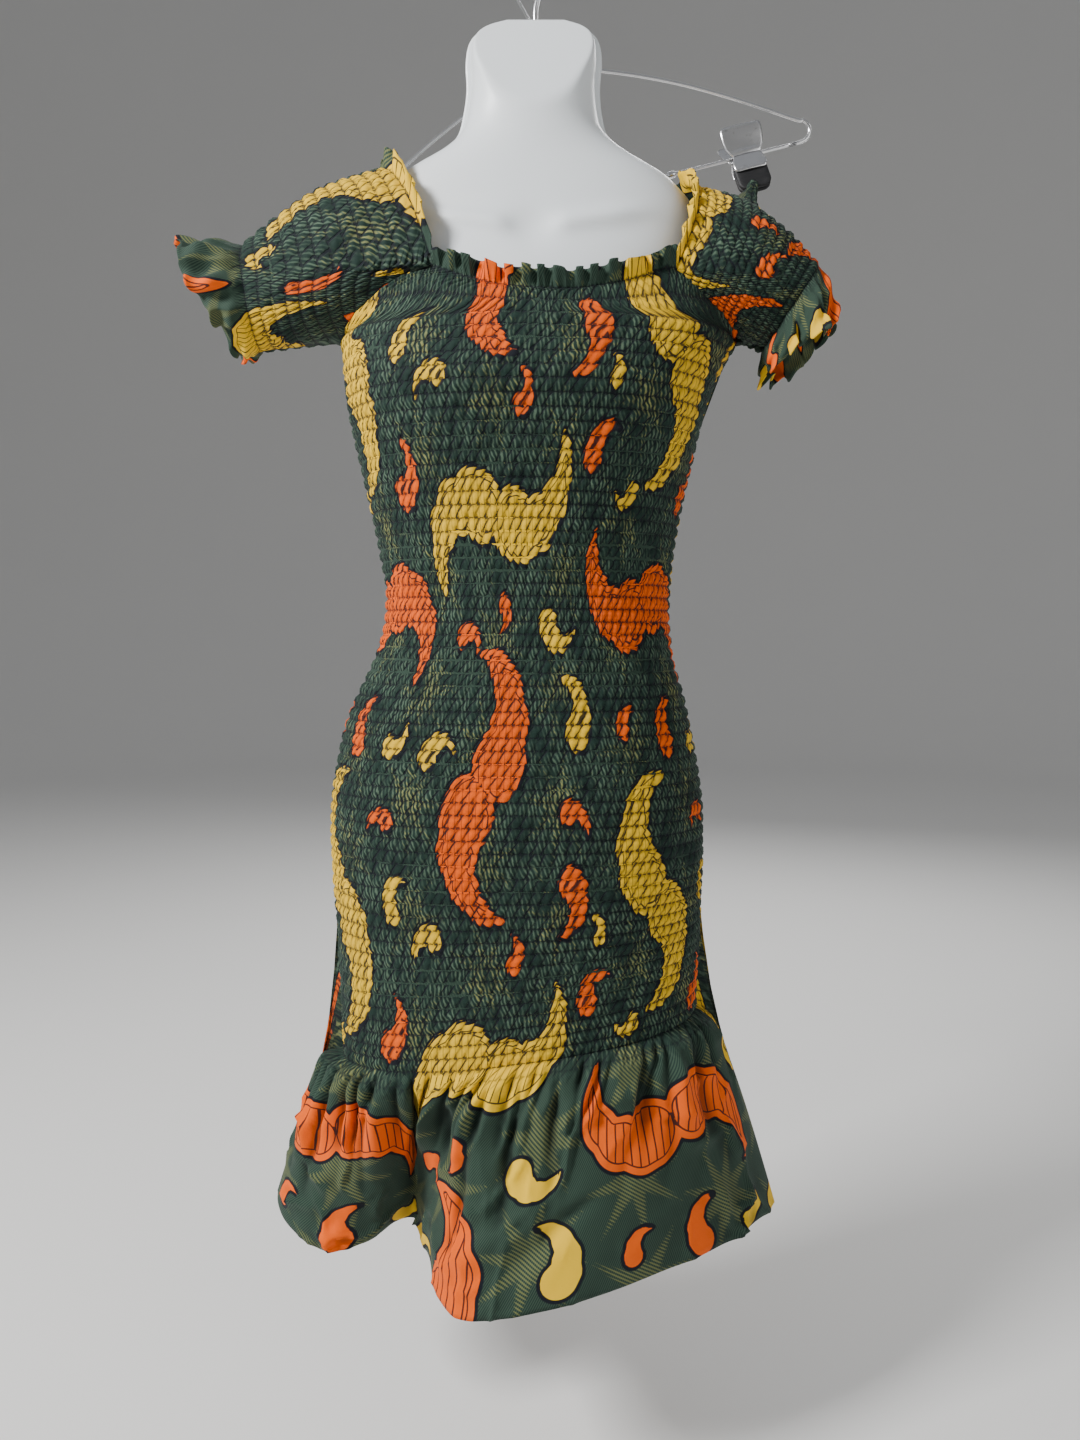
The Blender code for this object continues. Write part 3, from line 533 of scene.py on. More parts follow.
def read(rows, column, keys):
    """One column of a table at many keys, on a smooth curve through the rows."""
    place = np.array([row[0] for row in rows])
    value = np.array([getattr(row, column) for row in rows])
    low = np.clip(np.searchsorted(place, keys) - 1, 0, len(rows) - 2)
    high = low + 1
    before = np.maximum(low - 1, 0)
    after = np.minimum(high + 1, len(rows) - 1)
    span = place[high] - place[low]
    t = np.clip((keys - place[low]) / span, 0, 1)
    slope_low = (value[high] - value[before]) / (place[high] - place[before]) * span
    slope_high = (value[after] - value[low]) / (place[after] - place[low]) * span
    return ((2 * t ** 3 - 3 * t ** 2 + 1) * value[low] + (t ** 3 - 2 * t ** 2 + t) * slope_low
            + (3 * t ** 2 - 2 * t ** 3) * value[high] + (t ** 3 - t ** 2) * slope_high)


def mix(start, stop, share):
    """From start at share 0 to stop at share 1."""
    return start + (stop - start) * share


def ease(share):
    """A smooth step from 0 to 1."""
    share = np.clip(share, 0, 1)
    return share * share * (3 - 2 * share)


def part_of(value):
    """What is left of a value above the whole number below it."""
    return value - np.floor(value)


def xyz(x, y, z):
    """Points from three arrays or numbers."""
    return np.stack(np.broadcast_arrays(x, y, z), axis=-1)


def unit(vectors):
    """The same directions, each of length 1."""
    length = np.linalg.norm(vectors, axis=-1, keepdims=True)
    return vectors / np.maximum(length, 1e-9)


def lump(key, seed):
    """A slow uneven wave between -1 and 1, the same every time."""
    return (np.sin(key * 1.00 + seed * 1.7) + 0.6 * np.sin(key * 2.31 + seed * 4.1)
            + 0.4 * np.sin(key * 4.13 + seed * 0.9)) / 2


# The dress as curved surfaces


def raglan_reach(side, z):
    """How far down the armhole a level lies, and what it spans of the half width each way."""
    neckline = NECKLINE_Z[side]
    drop = np.clip((neckline - z) / (neckline - UNDERARM_Z), 0, 1)
    raglan = RAGLAN[side]
    return (drop, mix(raglan.left, 1.0, drop ** raglan.left_curve),
            mix(raglan.right, 1.0, drop ** raglan.right_curve))


def panel_points(side, z, across):
    """Points of the front or back, from the neckline down; across runs from 0 to 1."""
    drop, left, right = raglan_reach(side, z)
    start = np.arccos(np.minimum(left, 1.0))
    stop = pi - np.arccos(np.minimum(right, 1.0))
    swing = np.cos(mix(start, stop, across))
    x = read(BODY, "middle", z) - read(BODY, "half", z) * swing
    rise = CORNER_RISE * np.minimum(1, ((x - NECK_MIDDLE) / CORNER_REACH) ** 2) * (1 - drop)
    slope = END_SLOPE * x * ease((z - SLOPE_STARTS_Z) / (FLOUNCE_Z - SLOPE_STARTS_Z))
    level = z + rise + slope
    power = read(BODY, "square", level) if side == FRONT else BACK_ROUND
    depth = read(BODY, "front" if side == FRONT else "back", level)
    reach = np.maximum(0, 1 - np.abs(swing) ** power) ** (1 / power)
    return xyz(read(BODY, "middle", level) - read(BODY, "half", level) * swing,
               side * depth * reach, level)


def hem_points(side, across):
    """Points of a panel's hem."""
    hem = HEM[side]
    return xyz(read(hem, "x", across), read(hem, "y", across), read(hem, "z", across))


def along_curve(points):
    """How far along a curve each of its points lies, from 0 to 1, and its length."""
    steps = np.linalg.norm(np.diff(points, axis=0), axis=1)
    run = np.concatenate([[0.0], np.cumsum(steps)])
    return run / run[-1], run[-1]


def even_places(side, z, count):
    """Places across a level of a panel that are the same distance apart on the cloth."""
    dense = (1 - np.cos(np.linspace(0, pi, DENSE))) / 2
    run, _ = along_curve(panel_points(side, np.full(DENSE, z), dense))
    return np.interp(np.linspace(0, 1, count), run, dense)


def normals_of(points):
    """Outward directions of a grid of points, rows running down and columns across."""
    down = np.gradient(points, axis=0)
    across = np.gradient(points, axis=1)
    return unit(np.cross(down, across))


Row = namedtuple("Row", "points across down row gathered")
Grid = namedtuple("Grid", "points out across down lane row gathered hollow")


def extended(values, before, after=0):
    """A grid of values with its first and its last row repeated at its ends."""
    return np.concatenate([np.repeat(values[:1], before, 0), values,
                           np.repeat(values[-1:], after, 0)])


def pucker_relief(lane, row, height):
    """How far shirred cloth stands out: lane counts puckers and row counts elastics."""
    between = part_of(row)
    bulge = np.sin(pi * between) ** 0.65
    place = part_of(lane + PUCKER_LEAN * (between - 0.5) + part_of(np.floor(row) * ROW_SHIFT))
    ridge = np.sin(pi * place ** 1.25) ** 0.75
    uneven = 1 + 0.25 * lump(lane * 0.9 + row * 1.3, 2.0)
    return height * bulge * (0.25 + 0.75 * ridge * uneven)


def shirred_rows(side, share):
    """Rows from the neckline to the last elastic, and the places across of the last one."""
    elastics = ELASTIC_ROWS[side]
    made = []
    for step in range(elastics * STEPS_PER_ROW + 1):
        level = step / STEPS_PER_ROW
        z = mix(NECKLINE_Z[side], FLOUNCE_Z, level / elastics)
        places = even_places(side, z, len(share))
        _, left, right = raglan_reach(side, z)
        made.append(Row(panel_points(side, np.full(len(share), z), places),
                        FLAT_WIDTH[side] / 2 * mix(-left, right, share),
                        level * ROW_PITCH, level, 1.0))
    return made, places


def flounce_rows(side, share, last, places):
    """Rows from the last elastic to the hem, over which the cloth spreads to its full width."""
    elastics = ELASTIC_ROWS[side]
    dense = np.linspace(0, 1, DENSE)
    hem = hem_points(side, places)
    hem_run = np.interp(places, dense, along_curve(hem_points(side, dense))[0])
    made = []
    for step in range(1, FLOUNCE_STEPS + 1):
        fall = step / FLOUNCE_STEPS
        spread = fall ** FLOUNCE_SPREAD
        x, y = (mix(last[:, k], hem[:, k], spread) for k in (0, 1))
        made.append(Row(xyz(x, y, mix(last[:, 2], hem[:, 2], fall)),
                        FLAT_WIDTH[side] * (mix(share, hem_run, spread) - 0.5),
                        elastics * ROW_PITCH + fall * FLOUNCE_DROP,
                        elastics + fall * FLOUNCE_DROP / ROW_PITCH,
                        max(0.0, 1 - fall * PUCKERS_FADE)))
    return made


def panel_grid(side, settings):
    """The outer face of a panel: frill, shirred rows and flounce."""
    share = np.linspace(0, 1, COLUMNS)
    made, last_places = shirred_rows(side, share)
    body = len(made)
    made += flounce_rows(side, share, made[-1].points, last_places)
    points = np.array([row.points for row in made])
    across, down, row, gathered = (
        np.array([np.broadcast_to(value, share.shape) for value in column])
        for column in list(zip(*made))[1:])
    out = -side * normals_of(points)
    to_seam = np.minimum(share, 1 - share)
    seam = ease(to_seam / SEAM_FLATTENS)
    out[:, 0] = unit(out[:, 0] + (-SEAM_TURNS_OUT, 0, 0))
    out[:, -1] = unit(out[:, -1] + (SEAM_TURNS_OUT, 0, 0))
    sideways = xyz(np.where(share < 0.5, -1.0, 1.0), 0.0, 0.0)
    wide_seam = ease(to_seam / SEAM_SPREAD)
    out[body:] = unit(mix(sideways, out[body:], wide_seam[:, None]))
    lane = across / FLAT_WIDTH[side] * PUCKERS \
        + LANE_WANDER * lump(row * 0.8 + across * 30, side)
    relief = pucker_relief(lane, row, settings.pucker_height) \
        * mix(SEAM_PUCKER, 1.0, seam) * gathered
    relief += PANEL_UNEVEN * lump(across * 26 + row * 0.21, 5.0) * seam
    fall = np.linspace(0, 1, FLOUNCE_STEPS + 1)[1:, None]
    places = last_places[None, :]
    at_seam = 0.5 * flounce_swell(places, fall, settings) + flounce_puff(fall)
    folds = mix(at_seam, flounce_relief(side, places, fall, settings), wide_seam)
    relief[body:] += folds
    # How much painted shade each place of the flounce gets in its folds
    hollow = np.concatenate([np.zeros((body, COLUMNS)), hollows(folds)])
    points = points + out * (relief + LINING_STANDS_OFF + CLOTH)[..., None]
    frill = frill_rows(side, points[0], out[0], share, settings)
    count = len(frill)
    above = np.arange(count, 0, -1)[:, None] * FRILL_HEIGHT / FRILL_STEPS + 0 * share
    none = np.zeros_like(above)
    return Grid(np.concatenate([frill, points]), extended(out, count),
                extended(across, count), np.concatenate([-above, down]),
                extended(lane, count), np.concatenate([-above / ROW_PITCH, row]),
                np.concatenate([none, gathered]), np.concatenate([none, hollow]))


def flounce_swell(across, fall, settings):
    """How far the gathered cloth stands out between its folds."""
    height = settings.gather_height * mix(LEFT_GATHERS, RIGHT_GATHERS,
                                          ease((across - 0.35) / 0.3))
    return height * np.clip(1 - fall / 1.05, 0, 1) ** 0.8 * ease(fall / 0.07)


def flounce_puff(fall):
    """How far the whole flounce steps out below the last elastic."""
    return PUFF * ease(fall / 0.14) * (1 - fall) ** 1.4


def flounce_relief(side, across, fall, settings):
    """Gathers that fan out and fade below the last elastic, crumples, then the main creases."""
    dips = np.zeros(np.broadcast(across, fall).shape)
    for index in range(GATHERS):
        place = (index + 0.5 + GATHER_STRAYS * sin(index * 2.1 + side)) / GATHERS
        place = place + (place - 0.5) * GATHER_FANS * fall \
            + GATHER_SWAYS * np.sin(fall * 9 + index * 2.3)
        longer = mix(LONGER_AT_LEFT, SHORTER_AT_RIGHT, ease((index / GATHERS - 0.4) / 0.2))
        reach = GATHER_LENGTH + GATHER_LENGTHENS * (index * GOLDEN % 1) * longer
        width = (GATHER_WIDTH + GATHER_WIDENS * fall) / GATHERS
        fade = np.clip(1 - fall / reach, 0, 1) ** 0.7 * (0.80 + 0.20 * sin(index * 1.7 + side))
        dips = np.maximum(dips, fade * np.exp(-np.abs((across - place) / width) ** 1.5))
    relief = flounce_swell(across, fall, settings) * (1 - dips)
    for turn, pitch, height in CRUMPLES:
        run = across * FLAT_WIDTH[side] * cos(turn) + fall * FLOUNCE_DROP * sin(turn)
        cross = fall * FLOUNCE_DROP * cos(turn) - across * FLAT_WIDTH[side] * sin(turn)
        bent = run / pitch + 0.35 * lump(cross * 34, turn) + side
        strength = np.clip(lump(run * 23 + cross * 17, turn * 3 + side), 0, 1)
        relief += height * strength * (1 - np.abs(np.sin(pi * bent))) ** 3 * ease(fall / 0.2)
    relief += 0.0016 * lump(across * 21 + fall * 3, side) * fall ** 1.5
    relief += flounce_puff(fall) * (1 + 0.5 * lump(across * 11, side))
    for crease in FLOUNCE_CREASES[side]:
        share = (fall - crease.down) / crease.length
        middle = crease.across + crease.lean * np.clip(share, 0, 1)
        width = crease.width * (0.7 + 0.8 * np.clip(share, 0, 1))
        profile = ease(share / 0.25) * ease((1 - share) / 0.5)
        relief += CREASE_SCALE * crease.height * profile * np.exp(-((across - middle) / width) ** 2)
    return relief


def hollows(relief):
    """How deep each place lies between folds: 0 on a ridge, 1 at the bottom of a deep one; this
    sets how much painted shade the place gets.
    """
    width = relief.shape[1]
    padded = np.pad(relief, ((0, 0), (HOLLOW_REACH, HOLLOW_REACH)), mode="edge")
    around = sum(padded[:, k:k + width] for k in range(2 * HOLLOW_REACH + 1))
    return np.clip((around / (2 * HOLLOW_REACH + 1) - relief) / HOLLOW_DEPTH, 0, 1)


def ruffle(share, waves, seed):
    """Rounded uneven folds of a gathered edge: how far out, and how far along the edge."""
    turn = 2 * pi * (share * waves + 0.42 * lump(share * waves * 0.7, seed))
    size = 0.72 + 0.34 * lump(share * waves * 0.45, seed + 3)
    out = np.sin(turn) + 0.22 * np.sin(2 * turn + seed)
    return out * size, -0.40 * np.sin(2 * turn) * size


def frill_rows(side, edge, out, share, settings):
    """The frill above the top elastic, from its free edge down."""
    rows = []
    level = ease(np.minimum(share, 1 - share) / 0.03)
    along = unit(np.gradient(edge, axis=0))
    wave, sway = ruffle(share, FRILL_FOLDS, side + 2)
    small, _ = ruffle(share, FRILL_FOLDS * 2.7, side + 5)
    for step in range(FRILL_STEPS, 0, -1):
        rise = step / FRILL_STEPS
        depth = settings.frill_wave * level * (wave * rise ** 0.7 + 0.22 * small * (1 - rise))
        height = FRILL_HEIGHT * rise * (1 + 0.14 * lump(share * 22, side) - 0.14 * wave)
        place = edge + out * depth[:, None] \
            + along * (settings.frill_wave * sway * level * rise)[:, None]
        rows.append(place + xyz(0 * share, side * FRILL_LEAN * rise, height))
    return np.array(rows)


# Sleeves


def seam_points(sleeve, side, drop):
    """Points of a sleeve's seam with a panel."""
    neckline = NECKLINE_Z[side]
    z = mix(neckline, UNDERARM_Z, drop)
    return panel_points(side, z, np.full(np.shape(drop), sleeve.end))


def arch_points(sleeve, share):
    """The neckline edge of a sleeve, from the front corner over the shoulder to the back."""
    front = (share < 0.5)[..., None]
    t = np.where(share < 0.5, share * 2, (1 - share) * 2)[..., None]
    none = np.zeros(np.shape(share))
    corner = np.where(front, seam_points(sleeve, FRONT, none), seam_points(sleeve, BACK, none))
    bend = np.where(front, np.array(sleeve.arch_front), np.array(sleeve.arch_back))
    return corner * (1 - t) ** 2 + bend * 2 * t * (1 - t) + np.array(sleeve.top) * t ** 2


def armhole_points(sleeve, around):
    """Inner ring of a sleeve: underarm, front seam, neckline arch, back seam, underarm."""
    front = seam_points(sleeve, FRONT, np.clip(1 - around / SEAM_SHARE, 0, 1))
    back = seam_points(sleeve, BACK, np.clip(1 - (1 - around) / SEAM_SHARE, 0, 1))
    arch = arch_points(sleeve, np.clip((around - SEAM_SHARE) / (1 - 2 * SEAM_SHARE), 0, 1))
    return np.where((around < SEAM_SHARE)[..., None], front,
                    np.where((around > 1 - SEAM_SHARE)[..., None], back, arch))


def cuff_points(sleeve, around):
    """Points of the ring at a sleeve's last elastic."""
    angle = (2 * pi * around)[..., None]
    return np.array(sleeve.cuff) - np.array(sleeve.cuff_up) * np.cos(angle) \
        + np.array(sleeve.cuff_fore) * np.sin(angle)


def sleeve_points(sleeve, around, along):
    """Points of a sleeve; along is 0 at the armhole ring and 1 at the last elastic."""
    angle = 2 * pi * around
    swell = sleeve.bulge * np.sin(pi * along) * np.sin(pi * around) ** 2
    near_underarm = np.maximum(0, 1 - np.minimum(around, 1 - around) / SEAM_SHARE)
    curl = UNDERARM_CURL * near_underarm * ease(along / 0.14) * (1 - along)
    points = mix(armhole_points(sleeve, around), cuff_points(sleeve, around),
                 along[..., None])
    points = points + xyz(0 * angle, -np.sin(angle) * swell, curl - np.cos(angle) * swell)
    if sleeve.pinch:
        near = np.exp(-((around - PINCH_AROUND) / PINCH_SPREAD_AROUND) ** 2
                      - ((along - PINCH_ALONG) / PINCH_SPREAD_ALONG) ** 2)
        points = mix(points, np.array(sleeve.pinch), near[..., None] * PINCH_PULL)
    return points


def sleeve_rows(sleeve, share, elastics):
    """Points of a sleeve's gathered part, where each lies around it, and its elastic row."""
    points, around_at, row = [], [], []
    longer = sleeve.top_length - sleeve.under_length
    for step in range(elastics * STEPS_PER_ROW + 1):
        level = step / STEPS_PER_ROW
        distance = sleeve.top_length * (1 - level / elastics)
        start = SEAM_SHARE * min(max((distance - sleeve.under_length) / longer, 0), 1)
        around = mix(start, 1 - start, share)
        length = mix(sleeve.under_length, sleeve.top_length,
                     np.minimum(np.minimum(around, 1 - around) / SEAM_SHARE, 1))
        along = np.maximum(0, 1 - distance / length)
        points.append(sleeve_points(sleeve, around, along))
        around_at.append(around)
        row.append(np.full(len(share), level))
    return np.array(points), np.array(around_at), np.array(row)


def sleeve_grid(name, settings):
    """The outer face of a sleeve: neckline frill, shirred rows and cuff frill."""
    sleeve = SLEEVES[name]
    seed = 3 if sleeve.end else 7
    share = np.linspace(0, 1, COLUMNS)
    elastics = round(sleeve.top_length / ROW_PITCH)
    points, around, row = sleeve_rows(sleeve, share, elastics)
    out = normals_of(points)
    if np.sum(out[:, COLUMNS // 2, 2]) < 0:
        out = -out
    across = SLEEVE_FLAT_WIDTH * (around - 0.5)
    lane = across / SLEEVE_FLAT_WIDTH * PUCKERS + LANE_WANDER * lump(row + across * 30, seed)
    seam = ease(np.minimum(share, 1 - share) / SEAM_FLATTENS)
    relief = pucker_relief(lane, row, settings.pucker_height) * mix(SEAM_PUCKER, 1.0, seam)
    relief += SLEEVE_UNEVEN * lump(across * 30 + row * 0.4, seed) * seam
    points = points + out * (relief + LINING_STANDS_OFF + CLOTH)[..., None]
    top = sleeve_frill(sleeve, points[0], points[4], share, seed, settings)
    end = cuff_frill(sleeve, points[-1], share, seed)
    above = np.arange(len(top), 0, -1)[:, None] * FRILL_HEIGHT / FRILL_STEPS + 0 * share
    below = np.arange(1, CUFF_STEPS + 1)[:, None] / CUFF_STEPS * CUFF_DROP + 0 * share
    down = np.concatenate([-above, row * ROW_PITCH, elastics * ROW_PITCH + below])
    gathered = np.concatenate([0 * above, np.ones_like(row),
                               np.clip(1 - below / CUFF_FADE, 0, 1)])
    count = len(points)
    points = np.concatenate([top, points, end])
    normal = normals_of(points)
    normal[len(top):len(top) + count] = out
    for part in (slice(0, len(top)), slice(len(top) + count, None)):
        if np.sum(normal[part] * np.mean(out, axis=0)[None]) < 0:
            normal[part] = -normal[part]
    return Grid(points, normal, extended(across, len(top), CUFF_STEPS), down,
                extended(lane, len(top), CUFF_STEPS), down / ROW_PITCH, gathered,
                np.zeros_like(down))


def sleeve_frill(sleeve, edge, inside, share, seed, settings):
    """The frill along the sleeve's neckline edge, standing over the shoulder."""
    inward = unit(edge - inside)
    side = np.where(share < 0.5, -1.0, 1.0)
    corner = xyz(0 * share, side * FRILL_LEAN, FRILL_HEIGHT)
    middle = (inward * 0.35 + (0, 0, 0.9)) * FRILL_HEIGHT
    lift = mix(corner, middle, ease(4 * np.minimum(share, 1 - share))[:, None])
    ends = ease(np.minimum(share, 1 - share) / 0.04)
    along = unit(np.gradient(edge, axis=0))
    across = unit(np.cross(along, lift))
    wave, sway = ruffle(share, SLEEVE_FRILL_FOLDS, seed)
    rows = []
    for step in range(FRILL_STEPS, 0, -1):
        rise = step / FRILL_STEPS
        depth = settings.frill_wave * 0.8 * ends * wave * rise ** 0.7
        slide = settings.frill_wave * ends * sway * rise
        height = rise * (1 + 0.25 * lump(share * 23, seed))
        rows.append(edge + lift * height[:, None] + across * depth[:, None]
                    + along * slide[:, None])
    return np.array(rows)


def cuff_frill(sleeve, edge, share, seed):
    """The plain frill past the last elastic, deeply rippled and crumpled."""
    centre = np.array(sleeve.cuff)
    radial = unit(edge - centre)
    along = unit(np.gradient(edge, axis=0))
    way = np.array(sleeve.frill_way)
    slant = 1 - sleeve.frill_slant * ((1 + np.cos(2 * pi * share)) / 2) ** 1.5
    wave, sway = ruffle(share, CUFF_FOLDS, seed)
    small, _ = ruffle(share, CUFF_FOLDS * 2.6, seed + 4)
    closed = ease(np.minimum(share, 1 - share) / 0.03)
    rows = []
    for step in range(1, CUFF_STEPS + 1):
        fall = step / CUFF_STEPS
        depth = CUFF_WAVE_DEPTH * (wave * fall ** 0.8 + CUFF_RIPPLE * small * fall * (1.2 - fall))
        slide = CUFF_WAVE_DEPTH * 0.9 * sway * fall
        reach = fall * slant * (1 + 0.10 * fall * lump(share * 31, seed))
        kink = CUFF_KINK * np.sin(2 * pi * (share * 9 + fall * 1.7)) * fall
        point = edge + way * reach[:, None] + along * (slide * closed)[:, None]
        bulge = sleeve.flare * sin(pi * min(fall, 0.75)) + closed * (depth + kink)
        rows.append(point + radial * bulge[:, None])
    return np.array(rows)


# Print


def leaf_inside(across, down, leaf, turn, step):
    """How far inside a curled leaf each place of the cloth lies, in metres."""
    u = across - leaf.across
    v = leaf.down - down
    u = u - REPEAT_ACROSS * np.round(u / REPEAT_ACROSS)
    v = v - REPEAT_DOWN * np.round(v / REPEAT_DOWN)
    x = (u * cos(turn) + v * sin(turn)) / leaf.length - step
    y = (v * cos(turn) - u * sin(turn)) / leaf.length * leaf.curl
    sweep = np.arctan2(x, LEAF_BEND - y)
    radius = np.hypot(x, y - LEAF_BEND)
    lobes = np.abs(np.sin(LEAF_LOBES * sweep)) - 0.5
    width = LEAF_HEAD * np.clip(1 - sweep / LEAF_SWEEP, 0, 1) ** 0.8
    width = width * (1 + LOBE_DEPTH * lobes * ease(sweep / 0.3))
    beyond = np.maximum(0, sweep - LEAF_SWEEP) * LEAF_BEND
    blade = width - np.abs(radius - LEAF_BEND) - beyond
    head = LEAF_HEAD - np.hypot(x, y)
    return np.where(sweep > 0, blade, head) * leaf.length


def burst_inside(across, down):
    """How far inside a burst of eight rays each place of the ground lies, in metres."""
    column = np.round(across / BURST_PITCH)
    shift = BURST_PITCH / 2 * (column % 2)
    u = across - column * BURST_PITCH
    v = down + shift
    v = v - BURST_PITCH * np.round(v / BURST_PITCH)
    angle = np.arctan2(v, u) + 0.3 * column
    fold = np.abs(np.mod(angle + BURST_TURN, 2 * BURST_TURN) - BURST_TURN)
    reach = np.hypot(u, v)
    edge_x = BURST_HUB * sin(BURST_TURN)
    edge_y = BURST_RAY - BURST_HUB * cos(BURST_TURN)
    away = (BURST_RAY - reach * np.cos(fold)) * edge_x - reach * np.sin(fold) * edge_y
    return away / np.hypot(edge_x, edge_y)


def print_distances(across, down, start):
    """Distances inside the orange leaves, the yellow leaves and the ground's bursts."""
    across = across + start[0]
    down = down + start[1]
    inside = [np.full(across.shape, -1.0), np.full(across.shape, -1.0)]
    for pair in SCROLLS:
        for turn in (pair.turn, pair.turn + pi):
            found = leaf_inside(across, down, pair, turn, LEAF_HEAD * 0.80)
            inside[pair.colour] = np.maximum(inside[pair.colour], found)
    for leaf in LEAVES:
        found = np.minimum(leaf_inside(across, down, leaf, leaf.turn, 0.0), PLAIN_INSIDE)
        inside[leaf.colour] = np.maximum(inside[leaf.colour], found)
    return np.stack([*inside, burst_inside(across, down)], axis=-1)


# Building meshes


def zip_faces(first, second):
    """Triangles between two runs of (places, vertex numbers), in the order of the places."""
    faces = []
    i, j = 0, 0
    while i < len(first[1]) - 1 or j < len(second[1]) - 1:
        step_first = j == len(second[1]) - 1
        if i < len(first[1]) - 1 and not step_first:
            step_first = first[0][i + 1] <= second[0][j + 1]
        if step_first:
            faces.append((first[1][i], first[1][i + 1], second[1][j]))
            i += 1
        else:
            faces.append((first[1][i], second[1][j + 1], second[1][j]))
            j += 1
    return faces


def strip_faces(above, below):
    """Faces between two neighbouring rows: squares if they match, else triangles."""
    if len(above[1]) == len(below[1]):
        a, b = np.array(above[1]), np.array(below[1])
        return np.stack([a[:-1], a[1:], b[1:], b[:-1]], axis=1).tolist()
    return zip_faces(above, below)


def make_object(name, verts, faces, material):
    """A mesh object in the scene."""
    mesh = bpy.data.meshes.new(name)
    mesh.from_pydata([tuple(v) for v in verts], [], faces)
    mesh.validate()
    mesh.materials.append(material)
    made = bpy.data.objects.new(name, mesh)
    bpy.context.scene.collection.objects.link(made)
    return made


def tidy_normals(made):
    """Faces turned outwards, smooth shading."""
    bpy.context.view_layer.objects.active = made
    made.select_set(True)
    bpy.ops.object.mode_set(mode="EDIT")
    bpy.ops.mesh.select_all(action="SELECT")
    bpy.ops.mesh.normals_make_consistent(inside=False)
    bpy.ops.object.mode_set(mode="OBJECT")
    made.select_set(False)
    made.data.shade_smooth()


def make_wall(name, outer, inner, material):
    """A closed thin wall from rows of points on its outer and inner faces."""
    verts, faces, made = [], [], []
    count = 0
    for rows in (outer, inner):
        numbered = []
        for places, points in rows:
            numbered.append((places, list(range(count, count + len(points)))))
            verts.extend(points)
            count += len(points)
        for above, below in zip(numbered, numbered[1:]):
            faces.extend(strip_faces(above, below))
        made.append(numbered)
    for end in (0, -1):
        faces.extend(strip_faces(made[0][end], made[1][end]))
        sides = [(np.linspace(0, 1, len(rows)), [row[1][end] for row in rows])
                 for rows in made]
        faces.extend(zip_faces(*sides))
    wall = make_object(name, verts, faces, material)
    tidy_normals(wall)
    return wall


def inner_rows(grid, plain_from, plain_to):
    """The inner face: it follows frill and flounce closely and is plain behind the puckers."""
    columns = grid.points.shape[1]
    full = np.linspace(0, 1, columns)
    few = np.linspace(0, 1, INNER_COLUMNS + 1)
    pick = np.round(few * (columns - 1)).astype(int)
    every = list(range(0, plain_from + 1))
    every += list(range(plain_from + 1, plain_to, STEPS_PER_ROW * 2))
    every += list(range(plain_to, len(grid.points), 2))
    if every[-1] != len(grid.points) - 1:
        every.append(len(grid.points) - 1)
    rows = []
    for index in every:
        plain = plain_from < index < plain_to
        chosen = pick if plain else np.arange(columns)
        depth = CLOTH * (2.2 if plain else 1.0)
        points = grid.points[index, chosen] - grid.out[index, chosen] * depth
        rows.append((few if plain else full, points, index, chosen))
    return rows


def make_cloth(name, grid, plain_from, plain_to, print_start, material):
    """A cut piece of the dress, with what its print, its puckers and its painted fold shade need at
    each point.
    """
    columns = np.linspace(0, 1, grid.points.shape[1])
    outer = [(columns, points) for points in grid.points]
    inner = inner_rows(grid, plain_from, plain_to)
    piece = make_wall(name, outer, [(places, points) for places, points, _, _ in inner],
                      material)
    lanes = [xyz(grid.lane, grid.row, grid.gathered).reshape(-1, 3)]
    cuts = [np.stack([grid.across, grid.down], axis=-1).reshape(-1, 2)]
    folds = [grid.hollow.ravel()]
    for _, _, index, chosen in inner:
        lanes.append(xyz(grid.lane[index, chosen], grid.row[index, chosen],
                         0 * grid.gathered[index, chosen]))
        cuts.append(np.stack([grid.across[index, chosen], grid.down[index, chosen]], axis=-1))
        folds.append(grid.hollow[index, chosen])
    cut = np.concatenate(cuts)
    printed = print_distances(cut[:, 0], cut[:, 1], print_start)
    cut = np.concatenate([cut + print_start, np.zeros((len(cut), 1))], axis=1)
    fold = np.concatenate(folds)
    for label, values in (("cut", cut), ("pucker", np.concatenate(lanes)),
                          ("print", printed), ("fold", xyz(fold, 0 * fold, 0 * fold))):
        kept = piece.data.attributes.new(label, "FLOAT_VECTOR", "POINT")
        kept.data.foreach_set("vector", values.astype(np.float32).ravel())
    return piece


# Materials


